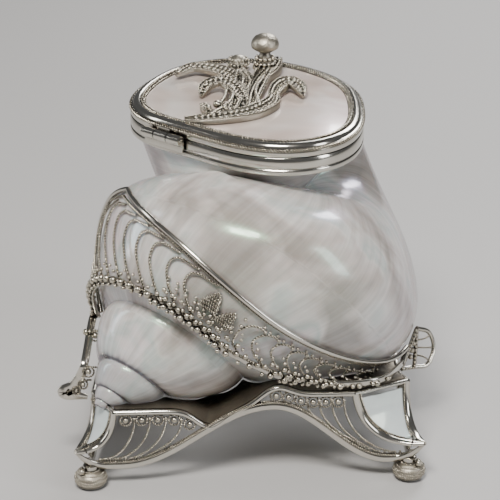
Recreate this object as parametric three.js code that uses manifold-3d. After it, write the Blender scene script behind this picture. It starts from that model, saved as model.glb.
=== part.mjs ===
// A small casket: a pearled turban shell in silver filigree mounts. The shell stands on a stand
// with four button feet, a filigree band wraps its body whorl, and its mouth, ground flat, has a
// collar with a hinged lid. Millimetres, +Z up, the front towards -Y.
import * as THREE from 'three';
import { mergeVertices } from 'three/addons/utils/BufferGeometryUtils.js';
import Module from 'manifold-3d';

const wasm = await Module();
wasm.setup();

// Gap between pieces that touch, and the volume under which a cut's leftover is nothing
const CLEARANCE = 0.3;
const SHARD_VOLUME = 0.01;

// Shell: a tube that widens by a fixed factor in every turn round a tilted axis. The places of the
// mouth and the stand are drawn for one half width of the tube, and grow with it.
const APEX_X = -46.2;
const APEX_Y = -40;
const APEX_Z = 23.1;
const AXIS_AZIMUTH = 38.54;
const AXIS_TILT = 33.55;
const TUBE_HALF_WIDTH = 19.2;
const DRAWN_HALF_WIDTH = 19.2;
const WIDENING = 2.1425;
const TUBE_REACH = 0.8457;
const TUBE_RISE = 2.383;
const SHELL_WALL = 2.6;
const SPIRE_TURNS = 4;
const HOLLOW_FROM = -0.45;
const PILLAR_SHARE = 0.28;
const PILLAR_FROM = -2.5;
const PILLAR_TURNS = 1.08;
const PILLAR_TIP_SHARE = 0.15;
const PILLAR_TIP_TURNS = 1.2;
const SHELL_SIDES = 14;
const CROWN_DROP = 3.4;
const CROWN_FOOT = 76;
const CROWN_TOP = 94;

// Mouth: a rounded egg in plan, shared by the shell's rim, the collar and the lid
const MOUTH_X = 0.5;
const MOUTH_Y = 18.6;
const MOUTH_RADIUS = 38.4;
const MOUTH_LONG = 4.28;
const MOUTH_LONG_AT = 113.8;
const MOUTH_CORNER = 1.667;
const MOUTH_CORNER_AT = 62.2;
const MOUTH_SQUARE = 1.366;
const MOUTH_SQUARE_AT = 18.9;
const MOUTH_BLEND_FROM = 0.68;
const MOUTH_STEPS = 24;
const GRIND_REACH = 20;
const SEAT_WALL = 1.2;

// Collar and lid heights
const SEAT_Z = 97;
const COLLAR_DROP = 5.4;
const COLLAR_WALL = 1.2;
const SEAT_THICKNESS = 0.9;
const LIP_HEIGHT = 1.2;
const LIP_WALL = 1.1;
const LID_RIM_HEIGHT = 3.9;
const LID_RIM_WALL = 1.4;
const LID_BORDER = 4.8;
const BEZEL_DROP = 1.3;
const LID_LEDGE = 2.2;
const LID_LEDGE_THICKNESS = 0.9;
const PANEL_THICKNESS = 1.3;

// Hinge at the lid's front left
const HINGE_AT = -138.5;
const HINGE_STANDOFF = 1.95;
const HINGE_LENGTH = 15;
const KNUCKLE_RADIUS = 1.55;
const PIN_RADIUS = 0.65;
const PIN_PLAY = 0.1;
const LEAF_THICKNESS = 0.7;

// Finial
const FINIAL_X = 4.8;
const FINIAL_Y = 44.5;
const FINIAL_HEIGHT = 13;
const FINIAL_CAP_RADIUS = 4.5;
const FINIAL_POST_RADIUS = 1.7;

// Band round the body whorl
const RAIL_RADIUS = 0.8;
const STRIP_WIDTH = 2;
const STRIP_THICKNESS = 0.9;
const WIRE_RADIUS = 0.42;
const GRANULE_RADIUS = 1.25;
const BAND_FROM = 0.04;
const BAND_TO = 0.64;
const BAND_CREST = 0.2;
const STRIP_ANGLE = -1.3;
const STRIP_PROUD = 2.3;
const STRIP_HUGS_TO = 0.46;
const STRIP_HUG_SHARE = 0.7;
const HOOK_COUNT = 7;
const GRANULE_COUNT = 10;

// Stand
const STAND_FRONT_LEFT = [-47.6, -44.4];
const STAND_FRONT_RIGHT = [47.9, -39.3];
const STAND_BACK_RIGHT = [45, 40];
const STAND_BACK_LEFT = [-44.5, 38];
const FOOT_RADIUS = 5;
const FOOT_HEIGHT = 6;
const FOOT_RIM_Z = 3;
const FOOT_FLAT_RADIUS = 2;
const SKIRT_LOW_Z = 5.6;
const STRAP_HEIGHT = 2.3;
const STRAP_THICKNESS = 1.5;
const TIP_REACH = 5.6;
const TIP_Z = 13.4;
const SHEET_DIP = 5.5;
const SHEET_CREST = 3;
const SHEET_SIDE_DIP = 10.4;
const EDGE_HEIGHT = 1.6;
const TOE_LENGTH = 5;
const FRAME_RADIUS = 0.7;
const LEAF_KNEE = 0.85;
const LEAF_SAG = 2;
const INLAY_TO = 0.72;
const INLAY_THICKNESS = 0.9;
const PAD_RADIUS = 2;
const SHEET_THICKNESS = 1.2;
const SHEET_LEFT_Z = 25;
const SHEET_RIGHT_Z = 29.5;

const RADIANS = Math.PI / 180;
const GROWTH = TUBE_HALF_WIDTH / DRAWN_HALF_WIDTH;
const UP = new THREE.Vector3(0, 0, 1);
const vec = (x, y, z) => new THREE.Vector3(x, y, z);
const flatMix = (a, b, u) => a + (b - a) * u;
const bump = (distance) => (Math.abs(distance) < 1 ? Math.cos(distance * Math.PI / 2) ** 2 : 0);

// Materials
function finish(name, color, roughness, metalness) {
  return new THREE.MeshStandardMaterial({ name, color, roughness, metalness });
}

const nacre = () => finish('nacre', 0xded8d2, 0.28, 0.1);
const silver = () => finish('silver', 0xb9b5ab, 0.32, 1);
const filigree = () => finish('filigree', 0xa39c8c, 0.45, 1);
const matteSilver = () => finish('matte_silver', 0x8f897d, 0.65, 1);

// Closed bodies
function outward(positions, index) {
  let volume = 0;
  const corner = (i) => vec(positions[3 * i], positions[3 * i + 1], positions[3 * i + 2]);
  for (let i = 0; i < index.length; i += 3) {
    volume += corner(index[i]).dot(corner(index[i + 1]).cross(corner(index[i + 2])));
  }
  if (volume < 0) {
    index.reverse();
  }
  const geometry = new THREE.BufferGeometry();
  geometry.setAttribute('position', new THREE.Float32BufferAttribute(positions, 3));
  geometry.setIndex(index);
  return geometry;
}

function loft(rings, { closed = false } = {}) {
  const count = rings[0].length;
  const points = rings.flat();
  const index = [];
  const spans = closed ? rings.length : rings.length - 1;
  for (let i = 0; i < spans; i++) {
    const here = i * count;
    const next = ((i + 1) % rings.length) * count;
    for (let j = 0; j < count; j++) {
      const k = (j + 1) % count;
      index.push(here + j, here + k, next + k, here + j, next + k, next + j);
    }
  }
  if (!closed) {
    for (const [ring, turned] of [[0, true], [rings.length - 1, false]]) {
      const centre = vec(0, 0, 0);
      rings[ring].forEach((point) => centre.addScaledVector(point, 1 / count));
      const hub = points.push(centre) - 1;
      for (let j = 0; j < count; j++) {
        const a = ring * count + j;
        const b = ring * count + (j + 1) % count;
        index.push(...(turned ? [hub, b, a] : [hub, a, b]));
      }
    }
  }
  return outward(points.flatMap((point) => point.toArray()), index);
}

function solid(geometry) {
  const bare = geometry.clone();
  bare.deleteAttribute('normal');
  bare.deleteAttribute('uv');
  const merged = mergeVertices(bare, 1e-4);
  const vertProperties = new Float32Array(merged.attributes.position.array);
  const triVerts = new Uint32Array(merged.index.array);
  return new wasm.Manifold(new wasm.Mesh({ numProp: 3, vertProperties, triVerts }));
}

// The surface of a solid, without the shards of no thickness that a cut along a shared face leaves
function geometryOf(body) {
  const mesh = body.getMesh();
  const at = (i) => vec(...mesh.vertProperties.subarray(i * mesh.numProp, i * mesh.numProp + 3));
  const owner = Array.from({ length: mesh.numVert }, (_, i) => i);
  const rootOf = (i) => {
    while (owner[i] !== i) {
      owner[i] = owner[owner[i]];
      i = owner[i];
    }
    return i;
  };
  const triangles = Array.from({ length: mesh.numTri }, (_, i) => [...mesh.triVerts.subarray(3 * i, 3 * i + 3)]);
  for (const [a, b, c] of triangles) {
    owner[rootOf(b)] = rootOf(a);
    owner[rootOf(c)] = rootOf(a);
  }
  const volumes = new Map();
  for (const [a, b, c] of triangles) {
    const volume = at(a).dot(at(b).cross(at(c))) / 6;
    volumes.set(rootOf(a), (volumes.get(rootOf(a)) ?? 0) + volume);
  }
  const kept = triangles.filter(([a]) => Math.abs(volumes.get(rootOf(a))) > SHARD_VOLUME);
  const geometry = new THREE.BufferGeometry();
  const positions = kept.flat().flatMap((i) => at(i).toArray());
  geometry.setAttribute('position', new THREE.Float32BufferAttribute(positions, 3));
  return mergeVertices(geometry, 1e-5);
}

const joined = (bodies) => bodies.reduce((sum, body) => sum.add(body));

// A bar of any section swept along points; up keeps the section from twisting
function bar(points, section, up = UP) {
  const rings = points.map((point, i) => {
    const before = points[Math.max(i - 1, 0)];
    const after = points[Math.min(i + 1, points.length - 1)];
    const along = after.clone().sub(before).normalize();
    const guide = typeof up === 'function' ? up(i / (points.length - 1)) : up;
    const side = along.clone().cross(guide).normalize();
    const top = side.clone().cross(along);
    return section(i / (points.length - 1)).map(([across, high]) =>
      point.clone().addScaledVector(side, across).addScaledVector(top, high));
  });
  return solid(loft(rings));
}

const roundSection = (radius, sides) => () => Array.from({ length: sides }, (_, j) => {
  const angle = 2 * Math.PI * (j + 0.5) / sides;
  return [radius * Math.cos(angle), radius * Math.sin(angle)];
});

const flatSection = (width, height) => () => [
  [-width / 2, -height / 2], [width / 2, -height / 2], [width / 2, height / 2], [-width / 2, height / 2],
];

function granule(at, radius = GRANULE_RADIUS) {
  const geometry = new THREE.OctahedronGeometry(radius, 0);
  geometry.translate(at.x, at.y, at.z);
  return solid(geometry);
}

function sampled(steps, at) {
  return Array.from({ length: steps + 1 }, (_, i) => at(i / steps));
}

// Shell
const azimuth = AXIS_AZIMUTH * RADIANS;
const tilt = AXIS_TILT * RADIANS;
const apex = vec(APEX_X, APEX_Y, APEX_Z).multiplyScalar(GROWTH);
const shellAxis = vec(
  Math.cos(tilt) * Math.cos(azimuth),
  Math.cos(tilt) * Math.sin(azimuth),
  Math.sin(tilt),
);
const levelArm = vec(-Math.sin(azimuth), Math.cos(azimuth), 0);
const risingArm = shellAxis.clone().cross(levelArm);

function armAt(turn) {
  const angle = 2 * Math.PI * turn;
  return levelArm.clone().multiplyScalar(Math.cos(angle)).addScaledVector(risingArm, Math.sin(angle));
}

// The tube's section, a rounded triangle: its radius at an angle from outwards towards the base
function sectionShare(angle) {
  return 1 - 0.126 * Math.cos(2 * (angle + 0.066)) + 0.093 * Math.cos(3 * (angle - 0.154));
}

function mouthRadius(angle) {
  return GROWTH * (MOUTH_RADIUS
    + MOUTH_LONG * Math.cos(2 * (angle - MOUTH_LONG_AT * RADIANS))
    + MOUTH_CORNER * Math.cos(3 * (angle - MOUTH_CORNER_AT * RADIANS))
    + MOUTH_SQUARE * Math.cos(4 * (angle - MOUTH_SQUARE_AT * RADIANS)));
}

function mouthNormal(angle) {
  const step = 1e-3;
  const radius = mouthRadius(angle);
  const slope = (mouthRadius(angle + step) - mouthRadius(angle - step)) / (2 * step);
  return vec(
    radius * Math.cos(angle) + slope * Math.sin(angle),
    radius * Math.sin(angle) - slope * Math.cos(angle),
    0,
  ).normalize();
}

function mouthPoint(angle, offset, z) {
  const radius = mouthRadius(angle);
  return vec(GROWTH * MOUTH_X + radius * Math.cos(angle), GROWTH * MOUTH_Y + radius * Math.sin(angle), z)
    .addScaledVector(mouthNormal(angle), offset);
}

// A section of offsets and heights, swept round the mouth
function roundMouth(profile) {
  return loft(Array.from({ length: MOUTH_STEPS }, (_, i) =>
    profile.map(([offset, z]) => mouthPoint(2 * Math.PI * i / MOUTH_STEPS, offset, z))), { closed: true });
}

const RIM_INSET = COLLAR_WALL + CLEARANCE;
const seatZ = GROWTH * SEAT_Z;
const RIM_Z = seatZ - SEAT_THICKNESS - CLEARANCE;

function shellPoint(turn, angle, proud = 0) {
  const halfWidth = TUBE_HALF_WIDTH * WIDENING ** turn;
  const radius = halfWidth * sectionShare(angle) + proud;
  const point = apex.clone()
    .addScaledVector(armAt(turn), TUBE_REACH * halfWidth + radius * Math.cos(angle))
    .addScaledVector(shellAxis, TUBE_RISE * halfWidth + radius * Math.sin(angle));
  const toMouth = THREE.MathUtils.smootherstep(turn, MOUTH_BLEND_FROM, 1);
  const crown = THREE.MathUtils.smoothstep(point.z, GROWTH * CROWN_FOOT, GROWTH * CROWN_TOP);
  point.z -= GROWTH * CROWN_DROP * (1 - toMouth) * crown;
  const mouthAngle = azimuth + Math.PI / 2 - angle;
  return point.lerp(mouthPoint(mouthAngle, proud - RIM_INSET, RIM_Z), toMouth);
}

// The tube in arcs of at most half a turn, since one tube of several turns runs into itself
const arcSteps = (turn) => (turn < -2 ? 2 : turn < -1 ? 3 : turn < 0 ? 5 : 7);

function whorls(from, to, proud) {
  const ends = [from];
  for (let turn = Math.floor(from * 2 + 1) / 2; turn < to; turn += 0.5) {
    ends.push(turn);
  }
  ends.push(to);
  return joined(ends.slice(1).map((end, i) => {
    const start = ends[i];
    const steps = Math.max(1, Math.round((end - start) * 2 * arcSteps(start)));
    return solid(loft(sampled(steps, (u) => Array.from({ length: SHELL_SIDES }, (_, j) =>
      shellPoint(flatMix(start, end, u), 2 * Math.PI * j / SHELL_SIDES, proud)))));
  }));
}

// The pillar that the whorls wind round, drawn in to a tip under the mouth
function pillar() {
  const ring = (turn, share) => Array.from({ length: 8 }, (_, j) => {
    const halfWidth = TUBE_HALF_WIDTH * WIDENING ** turn;
    return apex.clone()
      .addScaledVector(armAt(j / 8), share * halfWidth)
      .addScaledVector(shellAxis, TUBE_RISE * halfWidth);
  });
  const rings = sampled(5, (u) => ring(flatMix(PILLAR_FROM, PILLAR_TURNS, u), PILLAR_SHARE));
  return solid(loft([...rings, ring(PILLAR_TIP_TURNS, PILLAR_TIP_SHARE)]));
}

const outerShell = (proud) => whorls(-SPIRE_TURNS, 1, proud).add(pillar());

// What is ground off round the mouth so that the collar slips over it, with a wall inside it or not
function collarSeat(wall = 0) {
  const foot = seatZ - COLLAR_DROP - CLEARANCE - wall;
  const inner = -RIM_INSET - wall;
  return solid(roundMouth([[inner, foot], [GRIND_REACH, foot], [GRIND_REACH, seatZ], [inner, seatZ]]));
}

// The room inside is the tube less its wall, less the earlier whorls that it lies against. Its
// early part and its late part are cut apart by where those whorls end.
function shellRoom() {
  const early = whorls(HOLLOW_FROM, 0.5, -SHELL_WALL).subtract(whorls(-1.4, HOLLOW_FROM - 0.02, 0));
  const late = whorls(0.5, 1, -SHELL_WALL).subtract(whorls(-0.77, 0.4, 0)).subtract(pillar());
  const ring = (z) => Array.from({ length: SHELL_SIDES }, (_, j) =>
    mouthPoint(azimuth + Math.PI / 2 - 2 * Math.PI * j / SHELL_SIDES, -RIM_INSET - SHELL_WALL, z));
  const mouth = solid(loft([ring(RIM_Z - 0.5), ring(RIM_Z + 1)]));
  return early.add(late).add(mouth).subtract(collarSeat(SEAT_WALL));
}

function shell() {
  return geometryOf(outerShell(0).subtract(shellRoom()).subtract(collarSeat()));
}

// The shell swollen by the clearance, to cut what lies against it
const shellSpace = outerShell(CLEARANCE);

// Collar and lid, swept round the mouth
const LIP_OUT = -LID_RIM_WALL - 1.6;
const LID_FOOT_Z = seatZ + CLEARANCE;
const LID_TOP_Z = LID_FOOT_Z + LID_RIM_HEIGHT;
const PANEL_Z = LID_TOP_Z - 0.8;
const PANEL_SEAT_Z = PANEL_Z - PANEL_THICKNESS - CLEARANCE;

function collar() {
  const foot = seatZ - COLLAR_DROP;
  return roundMouth([
    [-COLLAR_WALL, foot],
    [0, foot],
    [0, seatZ],
    [LIP_OUT, seatZ],
    [LIP_OUT, seatZ + LIP_HEIGHT],
    [LIP_OUT - LIP_WALL, seatZ + LIP_HEIGHT],
    [LIP_OUT - LIP_WALL, seatZ - SEAT_THICKNESS],
    [-COLLAR_WALL, seatZ - SEAT_THICKNESS],
  ]);
}

function lidFrame() {
  const rimIn = -LID_RIM_WALL;
  return roundMouth([
    [rimIn, LID_FOOT_Z],
    [0, LID_FOOT_Z],
    [0, LID_TOP_Z - BEZEL_DROP],
    [-BEZEL_DROP, LID_TOP_Z],
    [-LID_BORDER, LID_TOP_Z - 0.3],
    [-LID_BORDER, PANEL_SEAT_Z],
    [-LID_BORDER - LID_LEDGE, PANEL_SEAT_Z],
    [-LID_BORDER - LID_LEDGE, PANEL_SEAT_Z - LID_LEDGE_THICKNESS],
    [LIP_OUT - LIP_WALL - CLEARANCE, PANEL_SEAT_Z - LID_LEDGE_THICKNESS],
    [LIP_OUT - LIP_WALL - CLEARANCE, PANEL_SEAT_Z],
    [rimIn, PANEL_SEAT_Z],
  ]);
}

function lidPanel() {
  const ring = (z) => Array.from({ length: MOUTH_STEPS }, (_, i) =>
    mouthPoint(2 * Math.PI * i / MOUTH_STEPS, -LID_BORDER - CLEARANCE, z));
  return loft([ring(PANEL_Z - PANEL_THICKNESS), ring(PANEL_Z)]);
}

// Hinge: the case's two knuckles, the lid's one between them, and the pin
const hingeAngle = HINGE_AT * RADIANS;
const hingeOut = mouthNormal(hingeAngle);
const hingeAlong = UP.clone().cross(hingeOut);
const hingeCentre = mouthPoint(hingeAngle, HINGE_STANDOFF, (seatZ + LID_FOOT_Z) / 2);

function hingeSpace(along, out, high) {
  return hingeCentre.clone()
    .addScaledVector(hingeAlong, along)
    .addScaledVector(hingeOut, out)
    .addScaledVector(UP, high);
}

function hingeRod(from, to, radius, sides) {
  return bar([hingeSpace(from, 0, 0), hingeSpace(to, 0, 0)], roundSection(radius, sides));
}

function hingeBlock(from, to, out, high) {
  const ring = (along) => [
    hingeSpace(along, out[0], high[0]), hingeSpace(along, out[1], high[0]),
    hingeSpace(along, out[1], high[1]), hingeSpace(along, out[0], high[1]),
  ];
  return solid(loft([ring(from), ring(to)]));
}

const knuckleLength = (HINGE_LENGTH - 2 * CLEARANCE) / 3;
const leafBack = -HINGE_STANDOFF + 2 * CLEARANCE;

function hingeLidLeaf() {
  const half = knuckleLength / 2;
  const leaf = hingeRod(-half, half, KNUCKLE_RADIUS, 8)
    .add(hingeBlock(-half, half, [leafBack, leafBack + LEAF_THICKNESS], [0, LID_RIM_HEIGHT - 1.2]));
  return geometryOf(leaf.subtract(hingeRod(-half - 1, half + 1, PIN_RADIUS + PIN_PLAY, 8)));
}

function hingeCaseLeaf() {
  const end = HINGE_LENGTH / 2;
  const near = knuckleLength / 2 + CLEARANCE;
  const plate = [leafBack, leafBack + LEAF_THICKNESS];
  const knuckles = [[near, end], [-end, -near]].map(([from, to]) =>
    hingeRod(from, to, KNUCKLE_RADIUS, 8).add(hingeBlock(from, to, plate, [-2.2, 0])));
  const leaf = joined([...knuckles, hingeBlock(-end, end, plate, [-COLLAR_DROP + 1.5, -2])]);
  return geometryOf(leaf.subtract(hingeRod(-end - 1, end + 1, PIN_RADIUS + PIN_PLAY, 8)));
}

function hingePin() {
  const end = HINGE_LENGTH / 2 + 0.2;
  return geometryOf(hingeRod(-end, end, PIN_RADIUS, 8));
}

// Spray on the lid: leaves with bevelled walls, each along its own spine
const SPRAY_Z = PANEL_Z + CLEARANCE;

function sprayLeaf(spine, width, height, steps = 3) {
  const curve = new THREE.CatmullRomCurve3(spine.map(([x, y, lift]) =>
    vec(GROWTH * x, GROWTH * y, SPRAY_Z + lift)));
  const section = (u) => {
    const half = Math.max(0.35, width / 2 * Math.sin(Math.PI * Math.min(1, 0.1 + 0.86 * u)) ** 0.7);
    const rim = height * Math.min(1, 0.5 + half / width);
    return [[-half, 0], [half, 0], [half * 0.85, rim], [-half * 0.85, rim]];
  };
  return bar(sampled(steps, (u) => curve.getPoint(u)), section);
}

function bead(x, y, z, radius, flat = 1) {
  const geometry = new THREE.SphereGeometry(radius, 6, 4);
  geometry.scale(1, 1, flat);
  geometry.translate(GROWTH * x, GROWTH * y, SPRAY_Z + z);
  return solid(geometry);
}

function lidSpray() {
  const leaves = [
    sprayLeaf([[-16.6, -3, 0], [-10, -2.4, 0], [0, 1.6, 0], [5.8, 9.6, 0.2], [7.4, 18, 0.6]], 7.4, 1.5),
    sprayLeaf([[6.8, 14, 0.4], [8.8, 22, 1], [12, 26.6, 1.6], [15.2, 22.4, 1.4], [16.4, 16.6, 0.6]], 6, 1.5),
    sprayLeaf([[-1, 8, 0], [-4, 19, 1.4], [-8.6, 25, 2.2], [-13.4, 23.4, 1.4], [-15, 17.6, 0]], 6, 1.4),
    sprayLeaf([[-2, 22, 0], [-5, 34, 0.4], [-11, 41, 1], [-18, 43, 1.4], [-23.4, 37, 1]], 7, 1.5),
    sprayLeaf([[-6, 0, 0], [-4, 14, 0.2], [-1, 30, 0.4], [-3.6, 44, 1]], 5, 1.6),
    sprayLeaf([[0, 4, 0], [1.6, 18, 0.2], [4, 32, 0.4], [7.6, 46, 1.4]], 5, 1.6),
    sprayLeaf([[2, 30, 0], [6, 40, 0.6], [9.6, 51, 2]], 7, 2),
  ];
  const claw = [0, 120, 240].map((turn) => {
    const angle = (turn + 20) * RADIANS;
    return sprayLeaf([[-9.5, 5, 0], [-10.5 + 5 * Math.cos(angle), 6.5 + 6 * Math.sin(angle), 0.6]], 3, 1.4, 2);
  });
  return geometryOf(joined([
    ...leaves,
    ...claw,
    bead(-10, 5.6, 1.4, 1.3),
    bead(-3.8, 46.4, 3, 3.5, 0.9),
  ]).subtract(solid(finialPost(FINIAL_POST_RADIUS + CLEARANCE, FINIAL_HEIGHT))));
}

function finialPost(radius, height) {
  const geometry = new THREE.CylinderGeometry(radius, radius, height, 8);
  geometry.rotateX(Math.PI / 2);
  geometry.translate(GROWTH * FINIAL_X, GROWTH * FINIAL_Y, SPRAY_Z + height / 2 - 0.1);
  return geometry;
}

function lidFinial() {
  const cap = FINIAL_HEIGHT;
  const radius = FINIAL_CAP_RADIUS;
  const post = FINIAL_POST_RADIUS;
  const profile = [
    [0, 0], [post, 0], [post, cap - 6], [post * 1.5, cap - 5.2], [radius, cap - 4],
    [radius * 0.92, cap - 2.3], [radius * 0.6, cap - 0.7], [0, cap],
  ];
  const geometry = new THREE.LatheGeometry(profile.map(([r, z]) => new THREE.Vector2(r, z)), 12);
  geometry.rotateX(Math.PI / 2);
  geometry.translate(GROWTH * FINIAL_X, GROWTH * FINIAL_Y, SPRAY_Z);
  return geometry;
}

// Stand: an arched skirt between four corners that flare out to points
const archZ = (arch) => (u) => {
  const half = u < arch.at ? arch.left : arch.right;
  return SKIRT_LOW_Z + GROWTH * arch.rise * bump((u - arch.at) / half);
};

const frontTop = (u) => GROWTH * (SHEET_LEFT_Z
  + (SHEET_RIGHT_Z - SHEET_LEFT_Z) * THREE.MathUtils.smoothstep(u, 0.44, 0.62)
  - SHEET_DIP * Math.exp(-(((u - 0.375) / 0.06) ** 2))
  + SHEET_CREST * Math.exp(-(((u - 0.575) / 0.06) ** 2)));
const sideDip = (u) => GROWTH * SHEET_SIDE_DIP * bump((u - 0.5) / 0.5);
const rightTop = (u) => GROWTH * SHEET_RIGHT_Z - sideDip(u);
const leftTop = () => GROWTH * SHEET_LEFT_Z;
const backTop = (u) => GROWTH
  * flatMix(SHEET_RIGHT_Z, SHEET_LEFT_Z, THREE.MathUtils.smoothstep(u, 0.3, 0.7));

// Each side runs from one corner to the next. ahead and behind are how far the corner leaves
// at its two ends reach along it, and wires pairs the head and foot of each twisted wire.
const SIDES = [
  {
    name: 'front', corner: 'front_left', from: STAND_FRONT_LEFT, to: STAND_FRONT_RIGHT, top: frontTop,
    arch: { at: 0.57, left: 0.47, right: 0.36, rise: 18.6 }, ahead: 7.5, behind: 17,
    wires: [[0.13, 0.05], [0.19, 0.09], [0.25, 0.14], [0.31, 0.2], [0.62, 0.76], [0.68, 0.82], [0.74, 0.88]],
  },
  {
    name: 'right', corner: 'front_right', from: STAND_FRONT_RIGHT, to: STAND_BACK_RIGHT, top: rightTop,
    arch: { at: 0.5, left: 0.4, right: 0.4, rise: 9 }, ahead: 11, behind: 11,
    wires: [[0.21, 0.11], [0.29, 0.18], [0.71, 0.82], [0.79, 0.89]],
  },
  {
    name: 'back', corner: 'back_right', from: STAND_BACK_RIGHT, to: STAND_BACK_LEFT, top: backTop,
    arch: { at: 0.5, left: 0.4, right: 0.4, rise: 15 }, ahead: 11, behind: 11,
    wires: [[0.2, 0.1], [0.28, 0.17], [0.72, 0.83], [0.8, 0.9]],
  },
  {
    name: 'left', corner: 'back_left', from: STAND_BACK_LEFT, to: STAND_FRONT_LEFT, top: leftTop,
    arch: { at: 0.5, left: 0.4, right: 0.4, rise: 14 }, ahead: 11, behind: 14,
    wires: [[0.2, 0.1], [0.28, 0.17], [0.72, 0.83]],
  },
];

for (const side of SIDES) {
  const [from, to] = [side.from, side.to].map(([x, y]) => vec(x, y, 0).multiplyScalar(GROWTH));
  side.start = from;
  side.length = from.distanceTo(to);
  side.along = to.clone().sub(from).normalize();
  side.out = side.along.clone().cross(UP);
  side.point = (u, z) => from.clone().lerp(to, u).setZ(z);
  side.low = archZ(side.arch);
}

// Band: a plain rail above, a granulated strip below and twisted wires that hook between them.
// Its edges are angles round the tube's section that change with the turn.
const railAngle = (turn) => {
  const fromLow = turn - 0.449;
  return -0.77 + (fromLow < 0 ? 12.9 : 26) * fromLow ** 2;
};
const RAIL_PROUD = RAIL_RADIUS + CLEARANCE + 0.2;
const WIRE_PROUD = WIRE_RADIUS + CLEARANCE + 0.3;

function bandRail(turn) {
  const back = Math.max(0, BAND_CREST - turn) / (BAND_CREST - BAND_FROM);
  return shellPoint(turn, flatMix(railAngle(Math.max(turn, BAND_CREST)), STRIP_ANGLE, back ** 2), RAIL_PROUD);
}

// A point over one side of the stand: how far along it, out from it and above its edge
function overStand(side, share, out, above) {
  return side.point(share, side.top(share) + above).addScaledVector(side.out, out);
}

// The strip hugs the shell's suture at the left; at the right it runs out to the stand's edge
const stripRun = new THREE.CatmullRomCurve3([
  shellPoint(STRIP_HUGS_TO, STRIP_ANGLE, STRIP_PROUD),
  overStand(SIDES[0], 0.572, -1.4, 5.6),
  overStand(SIDES[0], 0.66, -1.2, 4.2),
  overStand(SIDES[0], 0.775, -0.4, 2.4),
  overStand(SIDES[1], 0.05, -8.6, 2),
  overStand(SIDES[1], 0.27, -0.6, 4),
]);

function bandStrip(u) {
  if (u < STRIP_HUG_SHARE) {
    return shellPoint(flatMix(BAND_FROM, STRIP_HUGS_TO, u / STRIP_HUG_SHARE), STRIP_ANGLE, STRIP_PROUD);
  }
  return stripRun.getPoint((u - STRIP_HUG_SHARE) / (1 - STRIP_HUG_SHARE));
}

const bandTurn = (u) => flatMix(BAND_FROM, BAND_TO, u);

// A wire over the shell from the strip to the rail, eased on to the strip where that stands off
function hookPoints(u) {
  const turn = bandTurn(u);
  const railAt = bandRail(turn);
  const lowAt = shellPoint(turn, STRIP_ANGLE, WIRE_PROUD);
  const highAt = shellPoint(turn, railAngle(Math.max(turn, BAND_CREST)), WIRE_PROUD);
  const toStrip = bandStrip(u).sub(lowAt);
  const toRail = railAt.sub(highAt);
  return sampled(3, (v) => shellPoint(
    turn,
    flatMix(STRIP_ANGLE, railAngle(Math.max(turn, BAND_CREST)), v),
    WIRE_PROUD,
  ).addScaledVector(toStrip, (1 - v) ** 2).addScaledVector(toRail, v ** 3));
}

function band() {
  const rail = bar(sampled(16, (u) => bandRail(bandTurn(u))), roundSection(RAIL_RADIUS, 4));
  const strip = bar(sampled(16, bandStrip), flatSection(STRIP_THICKNESS, STRIP_WIDTH));
  const end = bar([bandStrip(1), bandRail(BAND_TO)], roundSection(RAIL_RADIUS, 4));
  const hooks = Array.from({ length: HOOK_COUNT }, (_, i) =>
    bar(hookPoints((i + 0.6) / HOOK_COUNT), roundSection(WIRE_RADIUS, 3)));
  const granules = Array.from({ length: GRANULE_COUNT }, (_, i) =>
    granule(bandStrip((i + 0.5) / GRANULE_COUNT)));
  return geometryOf(joined([rail, strip, end, ...hooks, ...granules]).subtract(shellSpace));
}

function apron(side) {
  const strapFrom = TOE_LENGTH / side.length;
  const strapU = (u) => flatMix(strapFrom, 1 - strapFrom, u);
  const edgeFrom = (side.ahead + 2 * CLEARANCE + FRAME_RADIUS) / side.length;
  const edgeTo = 1 - (side.behind + 2 * CLEARANCE + FRAME_RADIUS) / side.length;
  const edgeU = (u) => flatMix(edgeFrom, edgeTo, u);
  const strap = bar(sampled(9, (u) => side.point(strapU(u), side.low(strapU(u)) + STRAP_HEIGHT / 2)),
    flatSection(STRAP_THICKNESS, STRAP_HEIGHT));
  const edge = bar(sampled(8, (u) => side.point(edgeU(u), side.top(edgeU(u)) - EDGE_HEIGHT / 2)),
    flatSection(STRAP_THICKNESS, EDGE_HEIGHT));
  const twists = side.wires.map(([headU, footU]) => {
    const head = side.point(headU, side.top(headU) - EDGE_HEIGHT / 2);
    const foot = side.point(footU, side.low(footU) + STRAP_HEIGHT / 2);
    const knee = side.point(flatMix(headU, footU, 0.15), flatMix(head.z, foot.z, 0.6));
    const curve = new THREE.QuadraticBezierCurve3(head, knee, foot);
    return bar(sampled(2, (u) => curve.getPoint(u)), roundSection(WIRE_RADIUS, 3), side.out);
  });
  return geometryOf(joined([strap, edge, ...twists]));
}

// Corner: a leaf frame that bows out to a point over the foot, and the straps' toes under it
const corners = SIDES.map((side, i) => {
  const before = SIDES[(i + SIDES.length - 1) % SIDES.length];
  const at = side.start;
  const out = side.out.clone().add(before.out).normalize();
  const tip = at.clone().addScaledVector(out, TIP_REACH).setZ(TIP_Z);
  const edge = (direction, reach, topZ) => new THREE.QuadraticBezierCurve3(
    at.clone().addScaledVector(direction, reach).setZ(topZ - EDGE_HEIGHT / 2),
    at.clone().addScaledVector(direction, reach * LEAF_KNEE).setZ(TIP_Z - LEAF_SAG),
    tip,
  );
  const back = before.along.clone().negate();
  return {
    name: side.corner,
    at,
    out,
    tip,
    arms: [side.along, back],
    edges: [
      edge(side.along, side.ahead, side.top(side.ahead / side.length)),
      edge(back, before.behind, before.top(1 - before.behind / before.length)),
    ],
  };
});

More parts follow.
